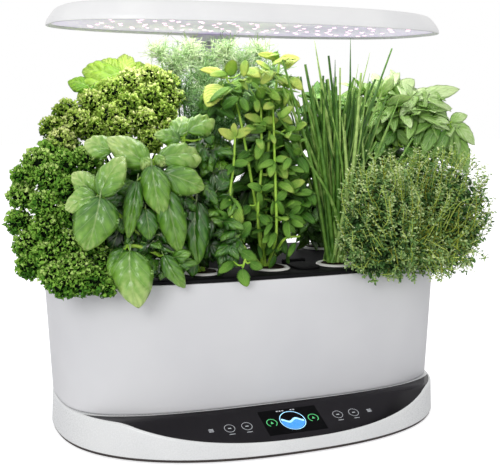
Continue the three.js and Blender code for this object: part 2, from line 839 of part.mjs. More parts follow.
function ledPanel() {
  const narrowing = (HOOD.shoulderInset * (LED.recess + LED.panelThickness)) / HOOD.shoulderHeight;
  const inset = HOOD.wall + FIT.gap + narrowing;
  const plate = skin([hoodRing(inset, LED_LOW), hoodRing(inset, LED_TOP)]);
  const chips = [];
  for (let column = 0; column < LED.columns; column++) {
    const x = (column - (LED.columns - 1) / 2) * LED.pitchX;
    const reach = ovalReach(HOOD.width, HOOD.depth, HOOD.outlinePowerShare, x) - 4 * LED.chip;
    for (let row = 0; row < LED.rows; row++) {
      const y = (row - (LED.rows - 1) / 2) * LED.pitchY;
      if (Math.abs(y) > reach) continue;
      const half = LED.chip / 2;
      chips.push(
        block(
          [x - half, HOOD.centreY + y - half, LED_LOW - LED.chipHeight],
          [x + half, HOOD.centreY + y + half, LED_LOW + LED.panelThickness / 2],
        ),
      );
    }
  }
  const slots = [-1, 1].flatMap((side) =>
    [-1, 1].map((end) =>
      bar(
        LED.slotWidth,
        LED.slotDepth,
        LED.slotDepth / 3,
        LED_LOW - FIT.overrun,
        LED_TOP + FIT.overrun,
        side * LED.slotX,
        HOOD.centreY + end * LED.slotY,
      ),
    ),
  );
  return cut(join(plate, ...chips), ...slots);
}

function heatSink() {
  const low = LED_TOP + FIT.gap;
  const front = HOOD.centreY - HEAT_SINK.depth / 2;
  const pitch = (HEAT_SINK.depth - HEAT_SINK.finThickness) / (HEAT_SINK.finCount - 1);
  const comb = new THREE.Shape();
  comb.moveTo(front, low);
  comb.lineTo(front + HEAT_SINK.depth, low);
  const plateTop = low + HEAT_SINK.plate;
  const finTop = plateTop + HEAT_SINK.finHeight;
  for (let fin = HEAT_SINK.finCount - 1; fin >= 0; fin--) {
    const y = front + fin * pitch;
    comb.lineTo(y + HEAT_SINK.finThickness, fin === HEAT_SINK.finCount - 1 ? finTop : plateTop);
    if (fin < HEAT_SINK.finCount - 1) comb.lineTo(y + HEAT_SINK.finThickness, finTop);
    comb.lineTo(y, finTop);
    if (fin > 0) comb.lineTo(y, plateTop);
  }
  return acrossX(comb, HEAT_SINK.width);
}

// The bowl and the grow deck

function bowl() {
  const bottom = HEIGHT.bowlBottom;
  const rounding = BOWL.footRound;
  const outside = skin([
    bowlRing(rounding, bottom),
    bowlRing(rounding / 3, bottom + rounding / 3),
    bowlRing(0, bottom + rounding),
    bowlRing(0, HEIGHT.bowlRim),
  ]);
  const inside = skin([
    bowlRing(BOWL.wall + rounding, HEIGHT.bowlFloor),
    bowlRing(BOWL.wall, HEIGHT.bowlFloor + rounding),
    bowlRing(BOWL.wall, HEIGHT.bowlRim),
    bowlRing(BOWL.wall, HEIGHT.bowlRim + FIT.overrun),
  ]);
  return cut(outside, inside);
}

const PORT_MIDDLE = PORT.backY - PORT.length / 2;
const HINGE = {
  x: PORT.x,
  y: PORT.backY + PORT.hingeSetBack + PORT.knuckleRadius,
  z: HEIGHT.growTop + PORT.hingeLift,
};

function hingeLug(side) {
  const near = HINGE.x + side * (PORT.knuckleWidth / 2 + PORT.lugGap);
  const far = near + side * PORT.lugWidth;
  const [from, to] = [Math.min(near, far), Math.max(near, far)];
  const sunk = HEIGHT.growTop - DECK.thickness / 2;
  return join(
    pin(PORT.knuckleRadius, from, to, 'x', 0, HINGE.y, HINGE.z),
    block([from, HINGE.y - PORT.knuckleRadius, sunk], [to, HINGE.y + PORT.knuckleRadius, HINGE.z]),
  );
}

function growDeck() {
  const { growUnder: low, growTop: high } = HEIGHT;
  const plate = skin([
    bowlRing(DECK.edgeInset, low),
    bowlRing(DECK.edgeInset, high - DECK.edgeRound),
    bowlRing(DECK.edgeInset + DECK.edgeRound, high),
  ]);
  const skirtInset = BOWL.wall + FIT.gap;
  const skirtLow = low - DECK.skirtHeight;
  const skirt = cut(
    skin([
      bowlRing(skirtInset + BOWL.footRound / 2, skirtLow),
      bowlRing(skirtInset, low + DECK.thickness / 2),
    ]),
    skin([
      bowlRing(skirtInset + DECK.skirtWall + BOWL.footRound / 2, skirtLow - FIT.overrun),
      bowlRing(skirtInset + DECK.skirtWall, low + DECK.thickness / 2 + FIT.overrun),
    ]),
  );
  const holeRadius = POD.bodyRadius + FIT.running;
  const [cutLow, cutHigh] = [low - FIT.overrun, high + FIT.overrun];
  const holes = podPlaces().map(([x, y]) => disc(holeRadius, cutLow, cutHigh, x, y, SIDES.basket));
  const port = bar(PORT.width, PORT.length, PORT.corner, cutLow, cutHigh, PORT.x, PORT_MIDDLE);
  const hingeHole = pin(
    PORT.pinRadius + FIT.gap,
    HINGE.x - PORT.width,
    HINGE.x + PORT.width,
    'x',
    0,
    HINGE.y,
    HINGE.z,
  );
  return cut(join(plate, skirt, hingeLug(-1), hingeLug(1)), ...holes, port, hingeHole);
}

function fillCover() {
  const low = HEIGHT.growTop + PORT.flapLift;
  const high = low + PORT.flapThickness;
  const width = PORT.width + 2 * PORT.flapOverlap;
  const length = PORT.length + 2 * PORT.flapOverlap;
  const half = PORT.knuckleWidth / 2;
  const plate = bar(width, length, PORT.corner + PORT.flapOverlap, low, high, PORT.x, PORT_MIDDLE);
  const arm = block(
    [PORT.x - half, PORT.backY - PORT.flapOverlap, low],
    [PORT.x + half, HINGE.y, high],
  );
  const knuckle = pin(PORT.knuckleRadius, PORT.x - half, PORT.x + half, 'x', 0, HINGE.y, HINGE.z);
  const pinHole = pin(
    PORT.pinRadius + FIT.gap,
    PORT.x - PORT.width,
    PORT.x + PORT.width,
    'x',
    0,
    HINGE.y,
    HINGE.z,
  );
  const lugRoom = [-1, 1].map((side) => {
    const middle = PORT.x + side * (half + (PORT.lugGap + PORT.width) / 2);
    return block(
      [middle - PORT.width / 2, PORT.backY, low - FIT.overrun],
      [middle + PORT.width / 2, HINGE.y + PORT.knuckleRadius, high + FIT.overrun],
    );
  });
  return cut(join(cut(plate, ...lugRoom), arm, knuckle), pinHole);
}

function coverPin() {
  const half = PORT.knuckleWidth / 2 + PORT.lugGap + PORT.lugWidth;
  return pin(PORT.pinRadius, HINGE.x - half, HINGE.x + half, 'x', 0, HINGE.y, HINGE.z);
}

function podBasket(x, y) {
  const top = HEIGHT.growTop;
  const foot = top - POD.depth;
  const rimLow = top + FIT.gap;
  const shell = turned(
    [
      [POD.footRadius, foot],
      [POD.bodyRadius, rimLow],
      [POD.rimRadius, rimLow],
      [POD.rimRadius - POD.rimHeight / 2, HEIGHT.podRim],
      [POD.bodyRadius - POD.wall, HEIGHT.podRim],
      [POD.footRadius - POD.wall, foot],
      [POD.footRadius, foot],
    ],
    x,
    y,
  );
  const middle = foot + POD.depth / 3;
  const [half, rise] = [POD.windowWidth / 2, POD.windowHeight / 2];
  const windows = block(
    [x - POD.rimRadius, y - half, middle - rise],
    [x + POD.rimRadius, y + half, middle + rise],
  );
  return cut(shell, windows);
}

function podSponge(x, y) {
  const foot = HEIGHT.growTop - POD.depth + POD.wall + FIT.gap;
  const slim = POD.wall + SPONGE.looseness;
  const profile = [
    [0, foot],
    [POD.footRadius - slim, foot],
    [POD.bodyRadius - slim, HEIGHT.spongeTop - SPONGE.crown],
    [POD.bodyRadius - slim - SPONGE.crown, HEIGHT.spongeTop],
    [0, HEIGHT.spongeTop],
  ];
  return turned(profile, x, y, SIDES.basket);
}

// Inside the bowl

const PUMP_TOP = HEIGHT.inBowl + PUMP.height;
const COVER_TOP = PUMP_TOP + FIT.gap + PUMP.coverHeight;
const NOZZLE_TOP = COVER_TOP + PUMP.nozzleHeight;

function pumpBody() {
  const chamberFloor = HEIGHT.inBowl + PUMP.floor;
  const intake = block(
    [PUMP.x - PUMP.radius - FIT.overrun, PUMP.y - PUMP.intakeWidth / 2, chamberFloor],
    [PUMP.x, PUMP.y + PUMP.intakeWidth / 2, PUMP_TOP - PUMP.coverHeight],
  );
  return cut(
    disc(PUMP.radius, HEIGHT.inBowl, PUMP_TOP, PUMP.x, PUMP.y),
    disc(PUMP.chamberRadius, chamberFloor, PUMP_TOP + FIT.overrun, PUMP.x, PUMP.y),
    disc(
      PUMP.shaftRadius + FIT.gap,
      chamberFloor - PUMP.shaftDepth - FIT.gap,
      PUMP_TOP,
      PUMP.x,
      PUMP.y,
      SIDES.tube,
    ),
    intake,
  );
}

function pumpImpeller() {
  const chamberFloor = HEIGHT.inBowl + PUMP.floor;
  const low = chamberFloor + FIT.running;
  const high = low + PUMP.impellerHeight;
  const blades = Array.from({ length: PUMP.bladeCount }, (_, i) => {
    const half = PUMP.bladeThickness / 2;
    const blade = new THREE.BoxGeometry(PUMP.bladeReach, PUMP.bladeThickness, high - low);
    blade.translate(PUMP.bladeReach / 2, half, (low + high) / 2);
    blade.rotateZ((i / PUMP.bladeCount) * 2 * Math.PI);
    return solid(blade.translate(PUMP.x, PUMP.y, 0));
  });
  return join(
    disc(PUMP.shaftRadius, chamberFloor - PUMP.shaftDepth, high, PUMP.x, PUMP.y, SIDES.tube),
    disc(PUMP.hubRadius, low, high, PUMP.x, PUMP.y, SIDES.tube),
    ...blades,
  );
}

function pumpCover() {
  const low = PUMP_TOP + FIT.gap;
  return cut(
    join(
      disc(PUMP.radius, low, COVER_TOP, PUMP.x, PUMP.y),
      disc(PUMP.nozzleRadius, low, NOZZLE_TOP, PUMP.x, PUMP.y, SIDES.tube),
    ),
    disc(PUMP.nozzleBore, low - FIT.overrun, NOZZLE_TOP + FIT.overrun, PUMP.x, PUMP.y, SIDES.small),
  );
}

function riserTube() {
  const low = NOZZLE_TOP - RISER.overlap;
  const high = HEIGHT.growUnder - FIT.gap;
  const bore = PUMP.nozzleRadius + FIT.gap;
  return cut(
    disc(bore + RISER.wall, low, high, PUMP.x, PUMP.y, SIDES.tube),
    disc(bore, low - FIT.overrun, high + FIT.overrun, PUMP.x, PUMP.y, SIDES.tube),
  );
}

function pumpFilter() {
  const near = PUMP.x - PUMP.radius - FIT.gap;
  return bar(
    FILTER.width,
    FILTER.depth,
    FILTER.corner,
    HEIGHT.inBowl,
    HEIGHT.inBowl + FILTER.height,
    near - FILTER.width / 2,
    PUMP.y,
  );
}

function floatGuide() {
  const low = HEIGHT.inBowl;
  const top = low + FLOAT.rodHeight;
  const profile = [
    [0, low],
    [FLOAT.footRadius, low],
    [FLOAT.footRadius, low + FLOAT.footHeight],
    [FLOAT.rodRadius, low + FLOAT.footHeight],
    [FLOAT.rodRadius, top - FLOAT.stopHeight],
    [FLOAT.stopRadius, top - FLOAT.stopHeight],
    [FLOAT.stopRadius, top],
    [0, top],
  ];
  return turned(profile, FLOAT.x, FLOAT.y, SIDES.tube);
}

function waterFloat() {
  const low = HEIGHT.inBowl + FLOAT.footHeight + FIT.gap;
  const high = low + FLOAT.height;
  const bore = FLOAT.rodRadius + FIT.running;
  const profile = [
    [bore, low],
    [FLOAT.radius - FLOAT.round, low],
    [FLOAT.radius, low + FLOAT.round],
    [FLOAT.radius, high - FLOAT.round],
    [FLOAT.radius - FLOAT.round, high],
    [bore, high],
    [bore, low],
  ];
  return turned(profile, FLOAT.x, FLOAT.y, SIDES.tube);
}

// The herbs. Each grows from its pod into its own plot, and no two plots touch.

const HERB = {
  lampClearance: 6,
  bowlClearance: 0.8,
  dip: 40,
  flapClearance: 2.5,
  golden: Math.PI * (3 - Math.sqrt(5)),
  facingShares: [-0.28, -0.68, 0.39], // the way most leaves turn, out to the light in front
};
const GROW_SPACE = HOOD.rimHeight - HERB.lampClearance - HEIGHT.plantFoot;

// How every herb grows, as shares of its own sizes
const GROWTH = {
  kneeShare: 0.45,
  stemTipShare: 0.55,
  lastLeafShare: 0.985,
  ridgeShare: 0.4,
  coverShare: 0.86,
  bladeTipShare: 0.3,
  bladeDipShare: 0.3,
  bundleShare: 0.6,
  bundleSpreadShare: 2.4,
  firstRayShare: 0.7,
  rayThinShare: 0.9,
  rayLowShare: 0.2,
  rayHighShare: 0.75,
  umbelShare: 0.5,
  sprigDipShare: 1.5,
  sprigTipShare: 0.7,
  archShare: 0.65,
  archRiseShare: 0.6,
};

// Plots as shares: x and y of the pod pitch, z of the space under the lamp
const PLOT_SHARES = {
  parsley_front: [
    { x: [-3.55, -1.51], y: [-1.07, -0.1], z: [-0.16, 0.66] },
    { x: [-3.55, -1.9], y: [-0.15, 0.5], z: [-0.16, 0.66] },
    { x: [-3.55, -3.1], y: [-1.9, -1], z: [-0.16, 0.4] },
    { x: [-3.15, -2.25], y: [-1.47, -1], z: [-0.16, 0.16] },
  ],
  basil_front: [
    { x: [-3.1, -1.45], y: [-1.98, -1.07], z: [0.16, 0.64] },
    { x: [-1.51, -0.51], y: [-1.98, -0.1], z: [-0.16, 0.64] },
    { x: [-2.5, -1.45], y: [-1.98, -1.47], z: [-0.16, 0.2] },
    { x: [-2.25, -1.45], y: [-1.5, -1.07], z: [-0.16, 0.2] },
  ],
  mint: [
    { x: [-0.51, 0.5], y: [-1.98, -0.1], z: [-0.16, 1] },
    { x: [-0.98, -0.45], y: [-1.98, -0.1], z: [0.65, 1] },
  ],
  chives: [
    { x: [0.5, 1.5], y: [-1.18, -0.1], z: [0, 0.6] },
    { x: [0.5, 1.95], y: [-1.98, -0.1], z: [0.56, 1] },
  ],
  thyme: [
    { x: [1.5, 3.55], y: [-1.98, -0.62], z: [-0.16, 0.555] },
    { x: [1.5, 3.55], y: [-0.65, -0.1], z: [-0.16, 0.38] },
    { x: [0.8, 1.55], y: [-1.98, -1.18], z: [-0.16, 0.555] },
  ],
  parsley_back: [
    { x: [-1.9, -1.01], y: [-0.1, 0.79], z: [0, 0.95] },
    { x: [-3.55, -1.85], y: [-0.1, 0.79], z: [0.66, 0.95] },
  ],
  basil_back: [
    { x: [-1.01, 0], y: [-0.1, 1.43], z: [0, 0.56] },
    { x: [-2.43, -0.95], y: [0.79, 1.43], z: [0, 1] },
  ],
  dill: [
    { x: [0, 1], y: [-0.1, 1.43], z: [0, 1] },
    { x: [-0.95, 0.05], y: [-0.1, 1.43], z: [0.56, 1] },
  ],
  thai_basil: [
    { x: [1, 3.55], y: [-0.1, 1.43], z: [0, 1] },
    { x: [1.95, 3.55], y: [-1.5, -0.05], z: [0.555, 1] },
    { x: [1.5, 3.55], y: [-0.62, -0.05], z: [0.38, 0.555] },
  ],
};

// A stretch of the growing space from its shares
function span(shares) {
  return new THREE.Vector3(...shares).multiply(new THREE.Vector3(LAYOUT.pitch, LAYOUT.pitch, GROW_SPACE));
}

// A place along Y from its share: the rows of pods keep theirs, whatever lies between them
function rowPlace(share) {
  const [front, back] = [LAYOUT.frontRowShare, LAYOUT.backRowShare];
  if (share < front) return LAYOUT.frontY + (share - front) * LAYOUT.pitch;
  if (share > back) return LAYOUT.backY + (share - back) * LAYOUT.pitch;
  return THREE.MathUtils.mapLinear(share, front, back, LAYOUT.frontY, LAYOUT.backY);
}

// A place in the growing space from its shares
function spot(shares) {
  const place = span(shares);
  place.y = rowPlace(shares[1]);
  place.z += HEIGHT.plantFoot;
  return place;
}

function plot(name) {
  const boxes = PLOT_SHARES[name].map(({ x, y, z }) => {
    const [low, high] = [0, 1].map((end) => spot([x[end], y[end], z[end]]));
    return block(low.addScalar(FIT.gap).toArray(), high.subScalar(FIT.gap).toArray());
  });
  return join(...boxes);
}

// What no herb may enter: the bowl with its deck and pods, and the path of the flap
function keepOut() {
  const low = HEIGHT.growTop - HERB.dip - FIT.overrun;
  const outline = -HERB.bowlClearance;
  const bowlSpace = skin([bowlRing(outline, low), bowlRing(outline, HEIGHT.plantFoot)]);
  const half = PORT.width / 2 + PORT.flapOverlap + HERB.flapClearance;
  const reach = PORT.length + 2 * PORT.flapOverlap + PORT.hingeSetBack + PORT.knuckleRadius;
  const flapSpace = block(
    [PORT.x - half, HINGE.y - reach - HERB.flapClearance, low],
    [PORT.x + half, HINGE.y + PORT.knuckleRadius + HERB.flapClearance, HINGE.z + reach + HERB.flapClearance],
  );
  return join(bowlSpace, flapSpace);
}

// A faceted ball stretched along each axis
function ball(place, reach, detail = 0) {
  const geometry = new THREE.IcosahedronGeometry(1, detail).scale(...reach.toArray());
  return solid(geometry.translate(...place.toArray()));
}

// The way of one of many leaves or blades: evenly turned, and spread from upright outwards
function spread(i, count, dipShare) {
  const lean = Math.sqrt((2 * i + 1) / (2 * count));
  const turn = i * HERB.golden;
  return new THREE.Vector3(lean * Math.cos(turn), lean * Math.sin(turn), 1 - dipShare * lean * lean);
}

// A tapering stem, blade or sprig along a curve. The radius may swell at every other step.
function limb(curve, footRadius, tipShare, steps, sides, swellShare = 0) {
  const ring = Array.from({ length: sides }, (_, i) => (i / sides) * 2 * Math.PI);
  const loops = Array.from({ length: steps + 1 }, (_, step) => {
    const along = step / steps;
    const tangent = curve.getTangent(along);
    const side = new THREE.Vector3(0, 1, 0).cross(tangent).normalize();
    const over = tangent.clone().cross(side);
    const swell = step % 2 ? 1 + swellShare : 1;
    const radius = footRadius * THREE.MathUtils.lerp(1, tipShare, along) * swell;
    return ring.map((turn) =>
      curve
        .getPoint(along)
        .addScaledVector(side, radius * Math.cos(turn))
        .addScaledVector(over, radius * Math.sin(turn)),
    );
  });
  return skin(loops);
}

// A stem that leaves its pod upright and leans over to its tip
function stemCurve(foot, tip) {
  const start = foot.clone();
  start.z -= SPONGE.crown;
  const knee = start.clone().lerp(tip, GROWTH.kneeShare);
  knee.x = THREE.MathUtils.lerp(start.x, tip.x, GROWTH.kneeShare / 2);
  knee.y = THREE.MathUtils.lerp(start.y, tip.y, GROWTH.kneeShare / 2);
  return new THREE.CatmullRomCurve3([start, knee, tip]);
}

// A leaf along the X axis of its place: a thin plate with a ridge
function leaf(size, place) {
  const edgeShares = [
    [-0.05, 0],
    [0.28, -0.47],
    [0.68, -0.38],
    [1, 0],
    [0.68, 0.38],
    [0.28, 0.47],
  ];
  const point = (alongShare, wideShare, rise) =>
    new THREE.Vector3(
      size.length * alongShare,
      size.width * wideShare,
      rise - size.droop * alongShare * alongShare,
    ).applyMatrix4(place);
  const edge = edgeShares.map(([alongShare, wideShare]) => point(alongShare, wideShare, 0));
  const ridge = [-1, 1].map((side) => point(GROWTH.ridgeShare, 0, (side * size.thickness) / 2));
  const [under, over] = [edge.length, edge.length + 1];
  const faces = edge.flatMap((_, i) => {
    const next = (i + 1) % edge.length;
    return [i, next, over, next, i, under];
  });
  const geometry = new THREE.BufferGeometry().setFromPoints([...edge, ...ridge]);
  geometry.setIndex(faces);
  return solid(geometry);
}

// A leaf that starts at a point, turned about Z and raised from level
function turnedLeaf(size, at, turn, raise) {
  const place = new THREE.Matrix4().makeTranslation(at.x, at.y, at.z);
  place.multiply(new THREE.Matrix4().makeRotationZ(turn));
  return leaf(size, place.multiply(new THREE.Matrix4().makeRotationY(-raise)));
}

// A leaf from one point to another, with its face to the light
function aimedLeaf(size, from, to, width) {
  const along = to.clone().sub(from);
  const length = along.length();
  along.normalize();
  const side = new THREE.Vector3(...HERB.facingShares).cross(along).normalize();
  const place = new THREE.Matrix4().makeBasis(along, side, along.clone().cross(side)).setPosition(from);
  return leaf({ ...size, length, width }, place);
}

// The crown at the top of the sponge that ties a herb's stems together
function crownDisc(foot, radius) {
  return disc(radius, foot.z - FIT.gap, foot.z + radius / 2, foot.x, foot.y, SIDES.small);
}

// Upright stems with opposite leaf pairs, each pair at a right angle to the one below
function leafyHerb(foot, size) {
  const pieces = [];
  size.tipShares.forEach((tipShares, stem) => {
    const aside = new THREE.Vector3(Math.cos(stem * HERB.golden), Math.sin(stem * HERB.golden), 0);
    const curve = stemCurve(foot.clone().addScaledVector(aside, size.stem * 2), spot(tipShares));
    pieces.push(limb(curve, size.stem, GROWTH.stemTipShare, 3, 4));
    for (let pair = 0; pair < size.pairs; pair++) {
      const up = pair / (size.pairs - 1);
      const at = curve.getPoint(THREE.MathUtils.lerp(size.bareShare, GROWTH.lastLeafShare, up));
      const young = THREE.MathUtils.lerp(1, size.topShare, up);
      const leafSize = {
        length: size.length * young,
        width: size.width * young,
        thickness: size.thickness,
        droop: size.droop * young,
      };
      for (const side of [0, 1]) {
        const turn = (pair + 2 * side) * (Math.PI / 2) + stem * HERB.golden;
        pieces.push(turnedLeaf(leafSize, at, turn, size.raise));
      }
    }
  });
  return join(...pieces, crownDisc(foot, size.stem * 3));
}

// Stems with big leaves, each led from its place on a stem to its own tip
function openHerb(foot, size) {
  const curves = size.tipShares.map((tipShares) => stemCurve(foot, spot(tipShares)));
  const stems = curves.map((curve) => limb(curve, size.stem, GROWTH.stemTipShare, 3, 4));
  const leaves = size.leafShares.map(([stem, alongShare, ...rest]) =>
    aimedLeaf(size, curves[stem].getPoint(alongShare), spot(rest), size.width * rest[3]),
  );
  return join(...stems, ...leaves, crownDisc(foot, size.stem * 3));
}

// A tufted herb: curly heads over a core on three stems
function tuftedHerb(foot, size) {
  const heads = size.headShares.map((shares) =>
    ball(spot(shares), new THREE.Vector3(size.head, size.head, size.head)),
  );
  const middle = spot(size.middleShares);
  const stems = [-1, 0, 1].map((side) => {
    const tip = middle.clone();
    tip.y += side * size.stem * 2;
    return limb(stemCurve(foot, tip), size.stem, 1, 2, 4);
  });
  const core = ball(middle, span(size.reachShares), 1);
  return join(core, ...heads, ...stems, crownDisc(foot, size.stem * 2));
}

// A bushy herb: a core on three stems, with leaves or curly heads all over it
function bushHerb(foot, size) {
  const middle = spot(size.middleShares);
  const reach = span(size.reachShares);
  const pieces = [ball(middle, reach, 1)];
  for (let i = 0; i < size.count; i++) {
    const height = 1 - (2 * i + 1) / size.count;
    const across = Math.sqrt(1 - height * height);
    const turn = i * HERB.golden;
    const way = new THREE.Vector3(across * Math.cos(turn), across * Math.sin(turn), height);
    const place = middle.clone().addScaledVector(way.multiply(reach), GROWTH.coverShare);
    if (size.head) {
      pieces.push(ball(place, new THREE.Vector3(size.head, size.head, size.head)));
    } else {
      const length = size.length * THREE.MathUtils.lerp(1, size.sideShare, Math.abs(Math.sin(turn)));
      pieces.push(turnedLeaf({ ...size, length }, place, turn, size.raise * height));
    }
  }
  for (const side of [-1, 0, 1]) {
    const tip = middle.clone();
    tip.y += side * size.stem * 2;
    pieces.push(limb(stemCurve(foot, tip), size.stem, 1, 2, 4));
  }
  return join(...pieces, crownDisc(foot, size.stem * 2));
}

// Blades that fan out from one dense clump
function bladeHerb(foot, size) {
  const reach = span(size.reachShares);
  const blades = Array.from({ length: size.blades }, (_, i) => {
    const way = spread(i, size.blades, GROWTH.bladeDipShare);
    const start = foot.clone();
    start.x += size.clump * way.x;
    start.y += size.clump * way.y;
    const tip = foot.clone().add(way.multiply(reach));
    return limb(stemCurve(start, tip), size.blade, GROWTH.bladeTipShare, 3, 3);
  });
  const bundleTop = foot.clone();
  bundleTop.z += reach.z * GROWTH.bundleShare;
  const upright = new THREE.LineCurve3(foot, bundleTop);
  const bundle = limb(upright, size.clump, GROWTH.bundleSpreadShare, 1, SIDES.small);
  return join(bundle, ...blades);
}

// Stems that each end in a cloud of fine rays
function sprayHerb(foot, size) {
  const pieces = [];
  size.tipShares.forEach((tipShares, stem) => {
    const tip = spot(tipShares);
    const curve = stemCurve(foot, tip);
    pieces.push(limb(curve, size.stem, GROWTH.stemTipShare, 3, 4));
    const cloud = size.ray * GROWTH.umbelShare;
    pieces.push(ball(tip, new THREE.Vector3(cloud, cloud, cloud), 0));
    for (let ray = 0; ray < size.rays; ray++) {
      const turn = ray * HERB.golden + stem;
      const along = THREE.MathUtils.lerp(GROWTH.firstRayShare, 1, (2 * ray + 1) / (2 * size.rays));
      const riseShare = ((ray * (size.rays - 2)) % size.rays) / size.rays;
      const rise = THREE.MathUtils.lerp(GROWTH.rayLowShare, GROWTH.rayHighShare, riseShare);
      const start = curve.getPoint(along);
      const way = new THREE.Vector3(Math.cos(turn), Math.sin(turn), rise);
      const end = start.clone().addScaledVector(way, size.ray);
      const radius = size.stem * GROWTH.rayThinShare;
      pieces.push(limb(new THREE.LineCurve3(start, end), radius, GROWTH.stemTipShare, 1, 3));
    }
  });
  return join(...pieces, crownDisc(foot, size.stem * 3));
}

// Wiry sprigs that arch out of a dense heart and droop, with leaf whorls that swell along them
function sprigHerb(foot, size) {
  const middle = spot(size.middleShares);
  const reach = span(size.reachShares);
  const sprigs = Array.from({ length: size.sprigs }, (_, i) => {
    const way = spread(i, size.sprigs, GROWTH.sprigDipShare);
    const tip = middle.clone().add(way.multiply(reach));
    const knee = foot.clone().lerp(tip, 1 / 2);
    const arch = middle.z + reach.z * GROWTH.archRiseShare;
    knee.z = THREE.MathUtils.lerp(Math.max(foot.z, tip.z), arch, GROWTH.archShare);
    const curve = new THREE.CatmullRomCurve3([foot, knee, tip]);
    return limb(curve, size.leaf, GROWTH.sprigTipShare, 6, 3, size.whorlShare);
  });
  const heart = ball(spot(size.heartShares), span(size.heartReachShares), 1);
  return join(heart, ...sprigs, crownDisc(foot, size.leaf * 3));
}

// Sizes of the herbs, and the places of their stems, heads and leaves as shares. A leaf has its
// stem, its place along it, its tip and its width as a share of the widest leaf.
const PARSLEY = { head: 20, count: 13, stem: 2.2 };
const PARSLEY_FRONT = {
  head: 19,
  stem: 2.2,
  middleShares: [-2.75, -0.45, 0.27],
  reachShares: [0.48, 0.4, 0.21],
  headShares: [
    [-3.3, -0.54, 0.33],
    [-3.3, -0.5, 0.2],
    [-3.22, -0.42, 0.42],
    [-2.95, -0.28, 0.47],
    [-2.74, -0.12, 0.48],
    [-2.58, 0.05, 0.5],
    [-2.9, -0.62, 0.38],
    [-2.5, -0.54, 0.44],
    [-3.08, -0.84, 0.28],
    [-3.22, -0.74, 0.1],
    [-2.77, -0.88, 0.31],
    [-2.5, -0.86, 0.24],
    [-3, -0.96, 0.14],
    [-2.64, -1, 0.14],
    [-2.9, -1.18, 0.05],
    [-2.6, -1.27, 0.03],
    [-2.98, -1.3, 0],
  ],
};
const BASIL_FRONT = {
  stem: 2.4,
  width: 38,
  thickness: 4,
  droop: 5,
  tipShares: [
    [-1.89, -1.46, 0.49],
    [-2.61, -1.65, 0.36],
    [-1.35, -1.11, 0.58],
    [-2.22, -1.46, 0.18],
    [-2.34, -1.28, 0.52],
  ],
  leafShares: [
    [4, 1, -2.64, -1.1, 0.58, 0.7],
    [0, 1, -2.42, -1.49, 0.58, 0.7],
    [1, 1, -2.42, -1.82, 0.53, 0.7],
    [1, 0.97, -2.91, -1.35, 0.45, 0.6],
    [1, 1, -3.05, -1.62, 0.34, 0.63],
    [1, 0.98, -2.76, -1.86, 0.15, 1],
    [4, 0.85, -2.28, -1.73, 0.18, 0.47],
    [0, 0.97, -1.95, -1.86, 0.28, 0.72],
    [1, 0.85, -1.99, -1.69, 0.18, 0.6],
    [3, 1, -2.31, -1.76, -0.07, 1],
    [3, 0.95, -2.44, -1.6, 0.05, 0.5],
    [0, 0.75, -1.69, -1.55, 0.14, 0.53],
    [0, 0.97, -1.03, -1.35, 0.54, 0.8],
    [0, 0.93, -1.2, -1.69, 0.36, 0.77],
    [0, 0.88, -1.65, -1.78, 0.11, 0.7],
    [0, 0.67, -1.41, -1.49, 0.07, 0.7],
    [3, 0.8, -1.57, -1.65, -0.04, 0.45],
    [2, 1, -0.8, -0.95, 0.63, 0.7],
    [2, 0.97, -1.27, -0.95, 0.63, 0.74],
    [2, 0.94, -0.78, -0.89, 0.58, 0.68],
    [2, 0.97, -1.7, -1.19, 0.61, 0.63],
    [0, 0.9, -1.59, -1.24, 0.3, 0.9],
    [1, 0.8, -2.32, -1.19, 0.26, 1],
    [0, 0.82, -1.24, -1.16, 0.34, 0.9],
    [1, 0.68, -1.46, -1.16, 0.15, 0.9],
  ],
};
const BASIL_BACK = {
  stem: 2.4,
  thickness: 5,
  count: 9,
  length: 32,
  width: 24,
  droop: 6,
  raise: 1,
  sideShare: 0.7,
  middleShares: [-1.62, 1.12, 0.82],
  reachShares: [0.36, 0.2, 0.08],
};
const MINT = {
  stem: 1.7,
  pairs: 3,
  bareShare: 0.38,
  topShare: 0.7,
  length: 40,
  width: 24,
  thickness: 3,
  droop: 8,
  raise: 0.25,
  tipShares: [
    [-0.6, -0.9, 0.88],
    [0.12, -0.6, 0.93],
    [-0.1, -1.35, 0.6],
  ],
};
const CHIVES = { blade: 1.7, blades: 20, clump: 8, reachShares: [0.9, 0.6, 1] };
const THYME = {
  leaf: 2.6,
  whorlShare: 0.9,
  sprigs: 16,
  middleShares: [2.24, -1.05, 0.1],
  reachShares: [1.45, 0.84, 0.42],
  heartShares: [2.25, -0.95, 0.22],
  heartReachShares: [0.75, 0.5, 0.18],
};
const DILL = {
  stem: 1.4,
  ray: 34,
  rays: 7,
  tipShares: [
    [0.25, 0.5, 0.86],
    [-0.3, 0.75, 0.92],
    [-0.85, 0.5, 0.86],
  ],
};
